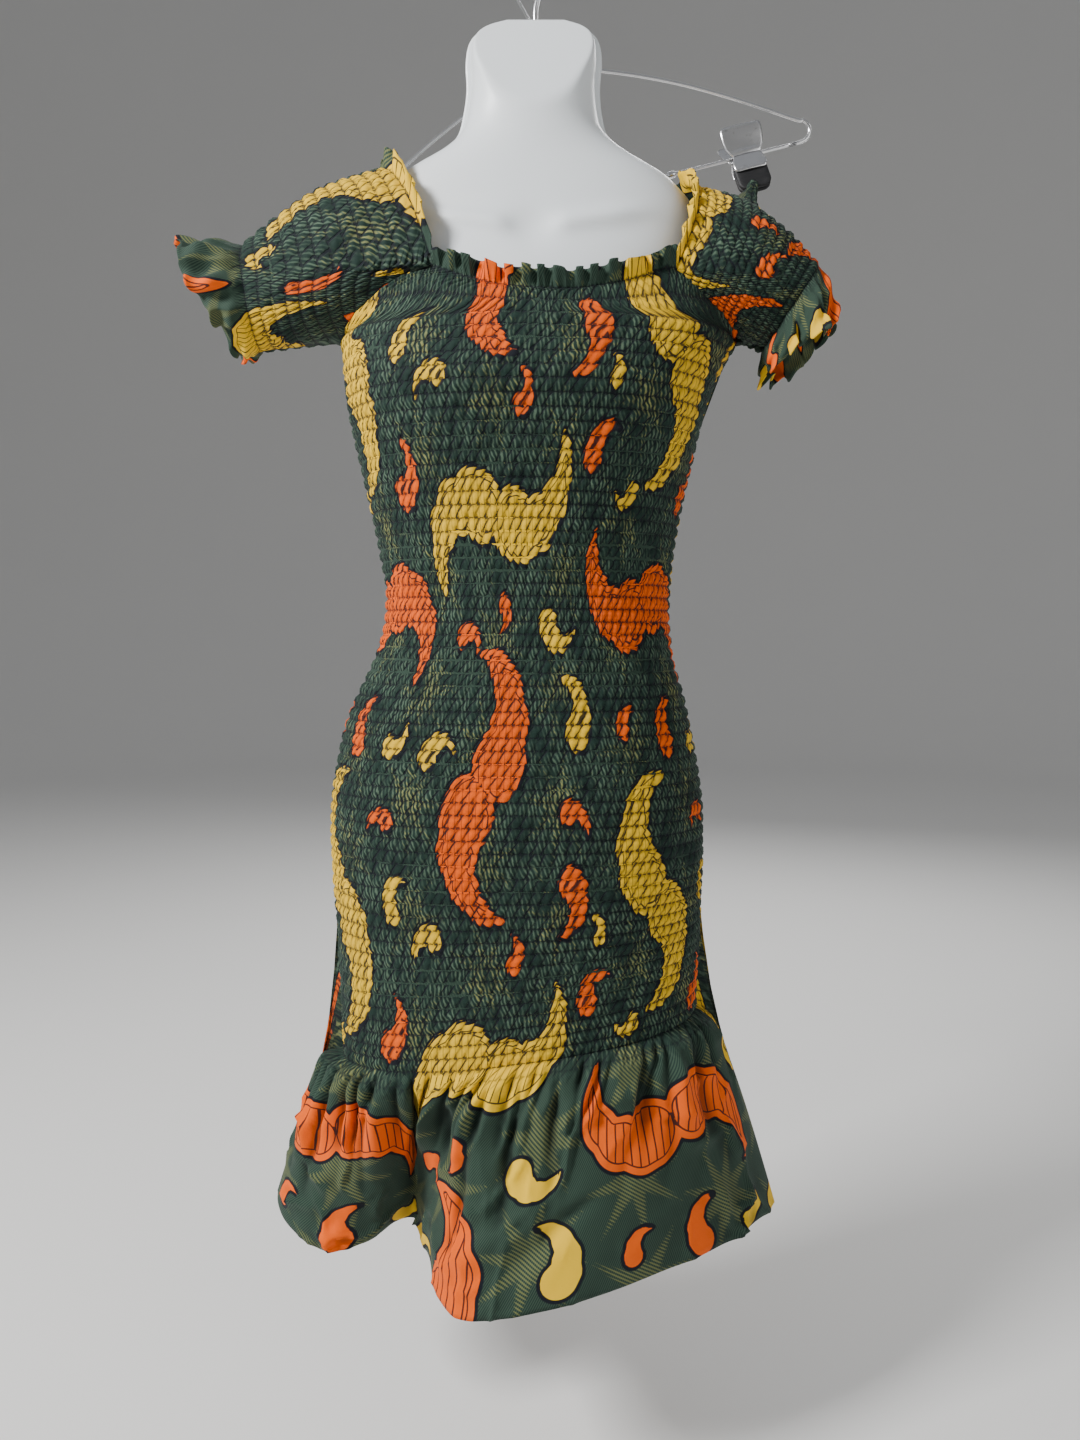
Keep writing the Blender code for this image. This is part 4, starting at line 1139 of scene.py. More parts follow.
class Finish:
    """A material under construction, with short names for its nodes."""

    def __init__(self, name, roughness, metallic=0.0):
        self.material = bpy.data.materials.new(name)
        self.material.use_nodes = True
        self.tree = self.material.node_tree
        self.shader = self.tree.nodes["Principled BSDF"]
        self.shader.inputs["Roughness"].default_value = roughness
        self.shader.inputs["Metallic"].default_value = metallic

    def join(self, value, socket):
        """Link a node's output to a socket, or set it."""
        if isinstance(value, bpy.types.NodeSocket):
            self.tree.links.new(value, socket)
        else:
            socket.default_value = value

    def maths(self, operation, *values):
        """The result of a maths node."""
        node = self.tree.nodes.new("ShaderNodeMath")
        node.operation = operation
        for value, socket in zip(values, node.inputs):
            self.join(value, socket)
        return node.outputs[0]

    def ramp(self, value, low, high):
        """0 below low, 1 above high, smooth between them."""
        node = self.tree.nodes.new("ShaderNodeMapRange")
        node.interpolation_type = "SMOOTHSTEP"
        self.join(value, node.inputs["Value"])
        self.join(low, node.inputs["From Min"])
        self.join(high, node.inputs["From Max"])
        return node.outputs["Result"]

    def blend(self, share, first, second, way="MIX"):
        """A mix of two colours."""
        node = self.tree.nodes.new("ShaderNodeMix")
        node.data_type = "RGBA"
        node.blend_type = way
        self.join(share, node.inputs[0])
        self.join(first, node.inputs[6])
        self.join(second, node.inputs[7])
        return node.outputs[2]

    def mixed(self, share, first, second):
        """A mix of two numbers."""
        node = self.tree.nodes.new("ShaderNodeMix")
        self.join(share, node.inputs[0])
        self.join(first, node.inputs[2])
        self.join(second, node.inputs[3])
        return node.outputs[0]

    def read(self, label):
        """A mesh attribute, and its three parts."""
        node = self.tree.nodes.new("ShaderNodeAttribute")
        node.attribute_name = label
        split = self.tree.nodes.new("ShaderNodeSeparateXYZ")
        self.tree.links.new(node.outputs["Vector"], split.inputs[0])
        return node.outputs["Vector"], *split.outputs

    def place(self):
        """Places in the object's own frame."""
        return self.tree.nodes.new("ShaderNodeTexCoord").outputs["Object"]

    def noise(self, place, scale, detail=2.0):
        """Noise around 0.5."""
        node = self.tree.nodes.new("ShaderNodeTexNoise")
        self.join(place, node.inputs["Vector"])
        node.inputs["Scale"].default_value = scale
        node.inputs["Detail"].default_value = detail
        return node.outputs["Fac"]

    def stripes(self, place, pitch):
        """Bands from 0 to 1 along a length, one to each pitch."""
        turns = self.maths("MULTIPLY", place, 2 * pi / pitch)
        return self.maths("MULTIPLY_ADD", self.maths("SINE", turns), 0.5, 0.5)

    def bump(self, height, distance, strength=1.0):
        """Relief too fine for the mesh."""
        node = self.tree.nodes.new("ShaderNodeBump")
        node.inputs["Distance"].default_value = distance
        node.inputs["Strength"].default_value = strength
        self.join(height, node.inputs["Height"])
        self.tree.links.new(node.outputs["Normal"], self.shader.inputs["Normal"])


ClothAt = namedtuple("ClothAt", "place u v lane row gathered fold wander phase")


def cloth_at(cloth):
    """What the cloth holds at each point, and where it lies between two creases."""
    place, u, v, _ = cloth.read("cut")
    _, lane, row, gathered = cloth.read("pucker")
    _, fold, _, _ = cloth.read("fold")
    wander = cloth.maths("MULTIPLY_ADD", cloth.noise(place, 95.0), 0.9, -0.45)
    shift = cloth.maths("FRACT", cloth.maths("MULTIPLY", cloth.maths("FLOOR", row), ROW_SHIFT))
    lean = cloth.maths("MULTIPLY_ADD", cloth.maths("FRACT", row), PUCKER_LEAN,
                       -0.5 * PUCKER_LEAN)
    pucker = cloth.maths("ADD", cloth.maths("ADD", lane, lean), shift)
    phase = cloth.maths("MULTIPLY_ADD", wander, 0.40, pucker)
    return ClothAt(place, u, v, lane, row, gathered, fold, wander, phase)


def edge_jumps(cloth, at):
    """How far an edge of the print jumps from pucker to pucker and from row to row."""
    saw = cloth.maths("MULTIPLY_ADD", cloth.maths("FRACT", at.phase), PUCKER_JUMP,
                      -PUCKER_JUMP / 2)
    step = cloth.maths("FRACT", cloth.maths("MULTIPLY", cloth.maths("FLOOR", at.row), GOLDEN))
    step = cloth.maths("MULTIPLY_ADD", step, ROW_JUMP, -ROW_JUMP / 2)
    return cloth.maths("MULTIPLY", cloth.maths("ADD", saw, step), at.gathered)


def ground_colour(cloth, at, burst, settings):
    """Ribs where the cloth is plain, streaks where it is gathered, and hatched bursts."""
    folds = cloth.maths("MULTIPLY_ADD", at.row, -0.75, cloth.maths("MULTIPLY", at.lane, 2.4))
    folds = cloth.stripes(cloth.maths("MULTIPLY_ADD", at.wander, 1.6, folds), 1.0)
    patchy = cloth.ramp(cloth.noise(at.place, 38.0, 3.0), 0.32, 0.66)
    streaks = cloth.maths("MULTIPLY", cloth.ramp(folds, 0.35, 0.95), patchy)
    ribs = cloth.stripes(cloth.maths("MULTIPLY_ADD", at.v, RIB_SLANT, at.u), RIB_PITCH)
    light = cloth.mixed(at.gathered, cloth.maths("MULTIPLY", ribs, RIB_STRENGTH), streaks)
    colour = cloth.blend(light, tuple(settings.ground), tuple(settings.ground_rib))
    slant = cloth.maths("SUBTRACT", at.v, cloth.maths("MULTIPLY", at.u, HATCH_SLANT))
    hatch = cloth.stripes(slant, HATCH_PITCH)
    ragged = cloth.maths("MULTIPLY_ADD", hatch, HATCH_RAGGED, burst)
    rays = cloth.maths("MULTIPLY", cloth.ramp(ragged, 0.001, 0.004),
                       cloth.ramp(hatch, 0.35, 0.70))
    rays = cloth.mixed(at.gathered, cloth.maths("MULTIPLY", rays, BURST_STRENGTH),
                       cloth.maths("MULTIPLY", cloth.ramp(ragged, 0.0, 0.006), streaks))
    return cloth.blend(rays, colour, tuple(settings.burst))


def leaf_colour(cloth, at, colour, orange, yellow, settings):
    """Leaves over the ground: dark outline, fill, and a border line with bars inside it."""
    outline = tuple(settings.outline)
    jumps = edge_jumps(cloth, at)
    orange = cloth.maths("ADD", orange, jumps)
    yellow = cloth.maths("ADD", yellow, jumps)
    inside = cloth.maths("MAXIMUM", orange, yellow)
    colour = cloth.blend(cloth.ramp(inside, *OUTLINE_EDGE), colour, outline)
    fill = cloth.blend(cloth.maths("GREATER_THAN", yellow, orange), tuple(settings.orange),
                       tuple(settings.yellow))
    colour = cloth.blend(cloth.ramp(inside, *FILL_EDGE), colour, fill)
    border = cloth.maths("ABSOLUTE", cloth.maths("SUBTRACT", inside, BORDER_INSIDE))
    border = cloth.ramp(border, *BORDER_LINE)
    bars = cloth.maths("MULTIPLY", cloth.ramp(cloth.stripes(at.u, BAR_PITCH), 0.88, 0.96),
                       cloth.ramp(inside, BORDER_INSIDE, BORDER_INSIDE + 0.0002))
    bars = cloth.maths("MULTIPLY", bars, cloth.maths("MULTIPLY_ADD", at.gathered, -0.6, 1.0))
    lines = cloth.maths("MULTIPLY", cloth.maths("MAXIMUM", border, bars), 0.92)
    return cloth.blend(lines, colour, outline)


def from_half(cloth, value, shift):
    """How far a repeating value lies from the middle of its turn, after a shift."""
    turned = cloth.maths("FRACT", cloth.maths("ADD", value, shift))
    return cloth.maths("ABSOLUTE", cloth.maths("SUBTRACT", turned, 0.5))


def pucker_scatter(cloth, at):
    """A different shade, from 0 to 1, for each pucker of each row."""
    scatter = cloth.tree.nodes.new("ShaderNodeTexWhiteNoise")
    scatter.noise_dimensions = "2D"
    cell = cloth.tree.nodes.new("ShaderNodeCombineXYZ")
    cloth.join(cloth.maths("FLOOR", at.phase), cell.inputs[0])
    cloth.join(cloth.maths("FLOOR", at.row), cell.inputs[1])
    cloth.join(cell.outputs[0], scatter.inputs["Vector"])
    return scatter.outputs[0]


def pucker_shading(cloth, at, colour, settings):
    """Painted shade beside the creases and elastics and in the flounce's folds, with a random
    darker tone for each pucker; then painted shadow lines in the creases and the dark elastic
    threads; and where those lines are.
    """
    off_crease = from_half(cloth, at.phase, 0.5)
    uneven = cloth.ramp(cloth.noise(at.place, 60.0), 0.28, 0.58)
    # Painted shadow line in each crease, stronger in patches
    crease = cloth.maths("MULTIPLY", cloth.ramp(off_crease, *CREASE_SHADOW_LINE), uneven)
    scallop = cloth.maths("MULTIPLY_ADD", cloth.stripes(at.phase, 1.0), 0.07, at.row)
    scallop = cloth.maths("MULTIPLY_ADD", cloth.noise(at.place, 160.0), 0.12, scallop)
    off_thread = from_half(cloth, scallop, THREAD_SHIFT)
    stitches = cloth.ramp(cloth.stripes(at.lane, 0.5), 0.05, 0.35)
    thread = cloth.maths("MULTIPLY", cloth.ramp(off_thread, *THREAD_LINE), stitches)
    dark = cloth.maths("MAXIMUM", crease, cloth.maths("MULTIPLY", thread, 0.85))
    dark = cloth.maths("MULTIPLY", dark, at.gathered)
    # Painted shade beside the creases and the elastics, plus a random darker tone for each pucker
    shade = cloth.maths(
        "ADD", cloth.maths("MULTIPLY", cloth.ramp(off_crease, 0.40, 0.05), 0.30),
        cloth.maths("MULTIPLY", cloth.ramp(off_thread, 0.30, 0.02), 0.30))
    shade = cloth.maths("ADD", shade, cloth.maths("MULTIPLY", pucker_scatter(cloth, at), 0.22))
    # Painted shade laid over the puckers and into the flounce's folds
    for amount, tint in ((cloth.maths("MULTIPLY", shade, at.gathered), PUCKER_SHADE),
                         (cloth.maths("MULTIPLY", at.fold, 0.75), FOLD_SHADE)):
        colour = cloth.blend(amount, colour, cloth.blend(1.0, colour, tint, "MULTIPLY"))
    # Painted crease shadows and the elastic threads, both in the outline colour
    colour = cloth.blend(cloth.maths("MULTIPLY", dark, 0.90), colour, tuple(settings.outline))
    return colour, dark


def wax_print(settings):
    """Printed cotton: ribbed ground with bursts, outlined leaves and stitches, with painted shadow
    lines in the creases and painted shade in the hollows and folds.
    """
    name = "wax_print_cotton"
    if name in bpy.data.materials:
        return bpy.data.materials[name]
    cloth = Finish(name, 0.78)
    at = cloth_at(cloth)
    _, orange, yellow, burst = cloth.read("print")
    colour = ground_colour(cloth, at, burst, settings)
    colour = leaf_colour(cloth, at, colour, orange, yellow, settings)
    colour, dark = pucker_shading(cloth, at, colour, settings)
    cloth.join(colour, cloth.shader.inputs["Base Color"])
    cloth.shader.inputs["Sheen Weight"].default_value = 0.04
    cloth.shader.inputs["Sheen Roughness"].default_value = 0.5
    cloth.shader.inputs["Specular IOR Level"].default_value = 0.18
    weave = cloth.maths("MULTIPLY", cloth.stripes(at.u, THREAD_PITCH),
                        cloth.stripes(at.v, THREAD_PITCH))
    height = cloth.maths("MULTIPLY_ADD", weave, 0.12, cloth.maths("MULTIPLY", dark, -1.0))
    height = cloth.maths("MULTIPLY_ADD", cloth.noise(at.place, 420.0), 0.25, height)
    cloth.bump(height, 0.0006)
    return cloth.material


def moulded_plastic(settings):
    """Smooth satin plastic with a faint mould texture and slight yellowing."""
    plastic = Finish("moulded_white_plastic", 0.34)
    place = plastic.place()
    tint = plastic.ramp(plastic.noise(place, 5.0, 3.0), 0.35, 0.75)
    colour = plastic.blend(plastic.maths("MULTIPLY", tint, 0.10), tuple(settings.plastic),
                           (0.70, 0.70, 0.66, 1))
    plastic.join(colour, plastic.shader.inputs["Base Color"])
    plastic.join(plastic.maths("MULTIPLY_ADD", plastic.noise(place, 60.0), 0.12, 0.30),
                 plastic.shader.inputs["Roughness"])
    plastic.shader.inputs["Coat Weight"].default_value = 0.15
    plastic.bump(plastic.noise(place, 900.0), 0.00008, 0.6)
    return plastic.material


def plated_wire(settings):
    """Bright plating with fine drawing marks and slight spotting."""
    name = "plated_metal"
    if name in bpy.data.materials:
        return bpy.data.materials[name]
    metal = Finish(name, 0.16, 1.0)
    place = metal.place()
    spots = metal.ramp(metal.noise(place, 240.0, 4.0), 0.62, 0.75)
    metal.join(metal.blend(metal.maths("MULTIPLY", spots, 0.5), tuple(settings.metal),
                           (0.30, 0.28, 0.26, 1)), metal.shader.inputs["Base Color"])
    metal.join(metal.maths("MULTIPLY_ADD", metal.noise(place, 90.0), 0.14, 0.17),
               metal.shader.inputs["Roughness"])
    metal.bump(metal.noise(place, 700.0), 0.00005, 0.5)
    return metal.material


def soft_rubber(settings):
    """Matt moulded rubber with a fine grain."""
    name = "black_rubber"
    if name in bpy.data.materials:
        return bpy.data.materials[name]
    rubber = Finish(name, 0.62)
    place = rubber.place()
    dust = rubber.ramp(rubber.noise(place, 80.0, 3.0), 0.45, 0.80)
    rubber.join(rubber.blend(rubber.maths("MULTIPLY", dust, 0.25), tuple(settings.pad),
                             (0.06, 0.06, 0.06, 1)), rubber.shader.inputs["Base Color"])
    rubber.bump(rubber.noise(place, 1200.0), 0.0001, 0.8)
    return rubber.material


# Form


def form_columns(z):
    """Half width, middle, depth and squareness of the form at many heights."""
    top = FORM_TOP[0].z
    below = np.clip((top - z) / (top - FORM_JOINS_DRESS_Z), 0, 1)
    columns = []
    for name in ("half", "middle", "front", "square"):
        clear = FORM_CLEARANCE if name in ("half", "front") else 0.0
        columns.append(mix(read(FORM_TOP, name, z), read(BODY, name, z) - clear, below))
    return columns


def collarbones(x, z):
    """Low ridges of the collarbones and the dip between them, in metres."""
    relief = np.zeros(np.broadcast(x, z).shape)
    for side in (-1, 1):
        from_middle = side * (x - COLLAR_MIDDLE)
        line = COLLAR_Z + COLLAR_RISE * np.clip(from_middle - 0.01, 0, 1)
        reach = ease((from_middle - 0.010) / 0.02) * ease((0.115 - from_middle) / 0.05)
        relief += COLLAR_HEIGHT * reach * np.exp(-((z - line) / COLLAR_WIDTH) ** 2)
    relief -= COLLAR_DIP * np.exp(-((x - COLLAR_MIDDLE) / COLLAR_DIP_WIDTH) ** 2
                                  - ((z - COLLAR_Z) / COLLAR_DIP_WIDTH) ** 2)
    return relief


def form_points(z, turn, wall, settings):
    """Points of the form's outer face (wall 0) or of its hollow."""
    half, middle, front, square = form_columns(z)
    swing = np.cos(turn)
    body_half = half - settings.lip_width
    reach = np.maximum(0, 1 - np.minimum(1, np.abs(swing) * half / body_half) ** square)
    depth = (front - settings.lip_thickness) * reach ** (1 / square)
    plate = (PLATE_TOP_Z - z) * PLATE_SLOPE + PLATE_EDGE
    gap = np.clip(0.5 + 0.5 * (plate - depth) / PLATE_EDGE, 0, 1)
    cut = plate * (1 - gap) + depth * gap - PLATE_EDGE * gap * (1 - gap)
    depth = np.where(z > PLATE_FROM_Z, np.maximum(cut, 0), depth)
    x = middle - (half - wall * 0.4) * swing
    depth = depth + collarbones(x, z) * ease(depth / 0.03)
    lip = settings.lip_thickness * (1 - np.abs(swing) ** 60 * 0.6)
    y = FORM_EDGE_Y - np.maximum(depth + lip - wall, 0.0004 if wall else 0.0)
    return xyz(x, y, z)


# Wire


def smooth_path(points, per_step=8, closed=False):
    """Points on a curve through the given ones."""
    points = [Vector(p) for p in points]
    count = len(points)
    path = []
    for i in range(count if closed else count - 1):
        if closed:
            p0, p1, p2, p3 = (points[(i + k) % count] for k in (-1, 0, 1, 2))
        else:
            p0, p3 = points[max(i - 1, 0)], points[min(i + 2, count - 1)]
            p1, p2 = points[i], points[i + 1]
        for s in range(per_step):
            t = s / per_step
            path.append(0.5 * (2 * p1 + (p2 - p0) * t + (2 * p0 - 5 * p1 + 4 * p2 - p3) * t * t
                               + (3 * p1 - p0 - 3 * p2 + p3) * t ** 3))
    if not closed:
        path.append(points[-1])
    return path


def tube(path, radius, sides=14, closed=False):
    """Vertices and faces of a round wire along a path, with domed ends unless closed."""
    verts, faces = [], []
    count = len(path)
    side_way = Vector((0.03, 1, 0.02))
    radii = [radius] * count
    if not closed:
        first, last = path[0], path[-1]
        start = (path[0] - path[1]).normalized()
        stop = (path[-1] - path[-2]).normalized()
        path = [first + start * radius * 0.9, first + start * radius * 0.5] + list(path) \
            + [last + stop * radius * 0.5, last + stop * radius * 0.9]
        radii = [radius * 0.35, radius * 0.85] + radii + [radius * 0.85, radius * 0.35]
        count += 4
    for index, point in enumerate(path):
        before = path[index - 1] if closed or index else point
        after = path[(index + 1) % count] if closed or index < count - 1 else point
        run = (after - before).normalized()
        across = (side_way - run * side_way.dot(run)).normalized()
        up = run.cross(across)
        for s in range(sides):
            angle = 2 * pi * s / sides
            verts.append(point + (across * cos(angle) + up * sin(angle)) * radii[index])
    rings = count if closed else count - 1
    for index in range(rings):
        here, there = index * sides, (index + 1) % count * sides
        for s in range(sides):
            t = (s + 1) % sides
            faces.append((here + s, here + t, there + t, there + s))
    if not closed:
        faces.append(tuple(range(sides)))
        faces.append(tuple((count - 1) * sides + s for s in reversed(range(sides))))
    return verts, faces


def gather_parts(parts):
    """One list of vertices and one of faces from several."""
    verts, faces = [], []
    for part_verts, part_faces in parts:
        start = len(verts)
        verts.extend(part_verts)
        faces.extend(tuple(start + k for k in face) for face in part_faces)
    return verts, faces


def hook_path(foot, hand, y, wire):
    """A hook over the origin: hand 1 bulges to the right and opens on the left."""
    centre = Vector((0, y, -HOOK_BOWL + wire / 2))
    path = [foot]
    for step in range(HOOK_STEPS + 1):
        angle = HOOK_STARTS + HOOK_SWEEP * step / HOOK_STEPS
        path.append(centre + Vector((hand * cos(angle), 0, sin(angle))) * HOOK_BOWL)
    lip = path[-1] - path[-2]
    path.append(path[-1] + lip.normalized() * HOOK_LIP + Vector((-hand * HOOK_LIP_TURNS, 0, 0)))
    return path


def hanger_place(x, z):
    """A place in the hanger's own frame, level before it was hung askew."""
    return HANGER_APEX + Matrix.Rotation(-HANGER_TILT, 3, "Y") @ Vector((x, 0, z))


def hanger_paths():
    """The closed frame and the hook of the hanger."""
    ring = HANGER_END_RADIUS
    bar = -HANGER_BAR_DROP
    top = bar + 2 * ring
    half = []
    for step in range(8):
        share = step / 7
        half.append(((HANGER_HALF - ring) * share,
                     mix(0.0, top, share) + HANGER_ARM_BOW * sin(pi * share)))
    for step in range(1, 5):
        angle = pi / 2 - pi * step / 5
        half.append((HANGER_HALF - ring + ring * cos(angle), bar + ring + ring * sin(angle)))
    for inward in (0.0, 0.004, 0.012, 0.040):
        half.append((HANGER_HALF - ring - inward, bar))
    outline = half + [(-x, z) for x, z in reversed(half[1:])]
    arms = [hanger_place(x, z) for x, z in outline]
    foot = hanger_place(0.0, -0.0005)
    hook = hook_path(foot, -1, HANGER_HOOK_Y, HANGER_WIRE)
    hook.insert(1, foot + Vector((-0.003, -0.010, 0.012)))
    hook.insert(2, Vector((hook[1].x - 0.004, HANGER_HOOK_Y + 0.006, hook[1].z + 0.012)))
    return arms, hook


def clip_place(clip):
    """Where a clip sits on the bar, and how it leans."""
    return Matrix.Translation(hanger_place(clip.along_bar, -HANGER_BAR_DROP)) \
        @ Matrix.Rotation(-HANGER_TILT, 4, "Y") @ Matrix.Rotation(-CLIP_LEAN, 4, "X")


def closed_sheet(rows, columns, point):
    """Vertices and faces of a closed plate; point gives the places on its faces 0 and 1."""
    wide = columns + 1
    size = wide * rows
    verts = [point(face, row, column / columns * 2 - 1)
             for face in (0, 1) for row in range(rows) for column in range(wide)]
    faces = []
    for row in range(0, size - wide, wide):
        for a in range(row, row + columns):
            faces.append((a, a + 1, a + wide + 1, a + wide))
            faces.append((size + a + wide, size + a + wide + 1, size + a + 1, size + a))
        for a in (row, row + columns):
            faces.append((a, a + wide, size + a + wide, size + a))
    for row in (0, size - wide):
        for a in range(row, row + columns):
            faces.append((a, size + a, size + a + 1, a + 1))
    return verts, faces


def bent_plate(place, side, profile):
    """A sheet metal plate on one side of a clip, slightly crowned."""
    def point(face, row, swing):
        here = profile[row]
        before, after = profile[max(row - 1, 0)], profile[min(row + 1, len(profile) - 1)]
        run = Vector((side * (after.depth - before.depth), after.height - before.height))
        run.normalize()
        normal = Vector((run.y, -run.x)) * PLATE_THICK * (0.5 - face)
        crown = side * PLATE_CROWN * (1 - swing * swing)
        return place @ Vector((here.half * swing, side * here.depth + normal.x + crown,
                               here.height + normal.y))
    return closed_sheet(len(profile), PLATE_COLUMNS, point)


def clip_metal(clip):
    """Two levers, two jaws and the spring round the bar."""
    place = clip_place(clip)
    parts = [bent_plate(place, side, profile) for side in (-1, 1) for profile in (LEVER, JAW)]
    steps = SPRING_TURNS * SPRING_STEPS
    spring = []
    for step in range(steps + 1):
        angle = 2 * pi * step / SPRING_STEPS
        spring.append(place @ Vector((mix(-SPRING_HALF, SPRING_HALF, step / steps),
                                      SPRING_RADIUS * cos(angle), SPRING_RADIUS * sin(angle))))
    return gather_parts([*parts, tube(spring, SPRING_WIRE, 8)])


def ribbed_pad(place, side):
    """The rubber pad on one side of a clip, ribbed across and rounded at its ends."""
    def point(face, row, swing):
        share = row / PAD_ROWS
        height = PAD_TOP - PAD_LENGTH * share
        rib = PAD_RIB_HEIGHT * abs(sin(pi * PAD_RIBS * share))
        half = (PAD_THICK - PAD_ROUND * abs(share * 2 - 1) ** 8 + rib) / 2
        low = max(0.0, (PAD_NARROWS_Z - height) / PAD_NARROWS_OVER)
        thin = 1 - 0.5 * abs(swing) ** 10
        return place @ Vector((PAD_HALF * swing * (1 - 0.45 * low ** 3),
                               side * PAD_MIDDLE + (2 * face - 1) * half * thin, height))
    return closed_sheet(PAD_ROWS + 1, PAD_COLUMNS, point)


def clip_rubber(clip):
    """Two ribbed pads that meet below the jaws."""
    place = clip_place(clip)
    return gather_parts([ribbed_pad(place, side) for side in (-1, 1)])


# Operators, one for each piece or group of like pieces


class MakePanel(bpy.types.Operator):
    """Front and back of the dress, each one cut piece from neckline frill to hem"""
    bl_idname = "dress.make_panels"
    bl_label = "Front and back"

    def execute(self, context):
        settings = context.scene.dress_cloth
        cloth = wax_print(settings)
        for node, side, start in (("dress_front", FRONT, (0.135, 0.150)),
                                  ("dress_back", BACK, (0.340, 0.020))):
            grid = panel_grid(side, settings)
            plain_to = FRILL_STEPS + ELASTIC_ROWS[side] * STEPS_PER_ROW
            piece = make_cloth(node + "_cloth", grid, FRILL_STEPS, plain_to, start, cloth)
            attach(piece, "root")
            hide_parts(node)
        return {"FINISHED"}


class MakeSleeves(bpy.types.Operator):
    """Both raglan sleeves with their neckline frills and cuff frills"""
    bl_idname = "dress.make_sleeves"
    bl_label = "Sleeves"

    def execute(self, context):
        settings = context.scene.dress_cloth
        cloth = wax_print(settings)
        for node, start in (("sleeve_left", (0.395, 0.200)), ("sleeve_right", (0.180, 0.330))):
            grid = sleeve_grid(node, settings)
            plain_to = len(grid.points) - CUFF_STEPS - 1
            piece = make_cloth(node + "_cloth", grid, FRILL_STEPS, plain_to, start, cloth)
            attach(piece, "root")
            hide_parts(node)
        return {"FINISHED"}


class MakeForm(bpy.types.Operator):
    """Moulded half-body form with the lip round its open back"""
    bl_idname = "dress.make_form"
    bl_label = "Form"

    def execute(self, context):
        settings = context.scene.dress_form
        share = np.linspace(0, 1, FORM_ROWS + 1)
        heights = mix(PLATE_TOP_Z, FORM_END_Z, share ** 1.25)
        places = (1 - np.cos(np.linspace(0, pi, FORM_COLUMNS + 1))) / 2
        dense = np.linspace(0, pi, FORM_DENSE)
        walls = []
        for wall in (0.0, FORM_WALL):
            face = []
            for z in heights:
                level = np.full(FORM_DENSE, z)
                run, _ = along_curve(form_points(level, dense, 0.0, settings))
                turn = np.interp(places, run, dense)
                face.append((places, form_points(np.full(len(turn), z), turn, wall, settings)))
            walls.append(face)
        form = make_wall("form_body", walls[0], walls[1][::3] + walls[1][-1:],
                         moulded_plastic(settings))
        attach(form, "root")
        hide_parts("form_shell")
        return {"FINISHED"}


class MakeHooks(bpy.types.Operator):
    """Hook of the form, and the wire hanger with its hook and stops"""
    bl_idname = "dress.make_hooks"
    bl_label = "Hook and hanger"

    def execute(self, context):
        metal = plated_wire(context.scene.dress_hanger)
        top = FORM_TOP[-1]
        y = FORM_EDGE_Y - FORM_HOOK_WIRE / 2
        foot = Vector((top.middle, y, top.z + 0.0003))
        path = hook_path(foot, 1, y, FORM_HOOK_WIRE)
        path.insert(1, foot + Vector((0.0005, 0, 0.012)))
        hook = make_object("form_hook_wire", *tube(smooth_path(path), FORM_HOOK_WIRE / 2, 20),
                           metal)
        arms, stem = hanger_paths()
        parts = [tube(smooth_path(arms, 6, True), HANGER_WIRE / 2, 14, True),
                 tube(smooth_path(stem), HANGER_WIRE / 2)]
        for along in STOPS_ALONG_BAR:
            spot = [hanger_place(along + step * 0.0012, -HANGER_BAR_DROP) for step in range(4)]
            parts.append(tube(spot, HANGER_WIRE * 0.95, 16))
        wire = make_object("hanger_frame_wire", *gather_parts(parts), metal)
        for piece, node in ((hook, "form_hook"), (wire, "hanger_wire")):
            tidy_normals(piece)
            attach(piece, "root")
            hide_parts(node)
        return {"FINISHED"}


class MakeClips(bpy.types.Operator):
    """Sprung clips with their rubber pads"""
    bl_idname = "dress.make_clips"
    bl_label = "Clips"

    def execute(self, context):
        settings = context.scene.dress_hanger
        for clip in CLIPS:
            metal = make_object(clip.name + "_metal", *clip_metal(clip), plated_wire(settings))
            pads = make_object(clip.name + "_rubber", *clip_rubber(clip),
                               soft_rubber(settings))
            for piece, node, slot in ((metal, clip.name, "chrome"),
                                      (pads, clip.name + "_pads", "rubber")):
                tidy_normals(piece)
                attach(piece, "root")
                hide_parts(node)
        return {"FINISHED"}


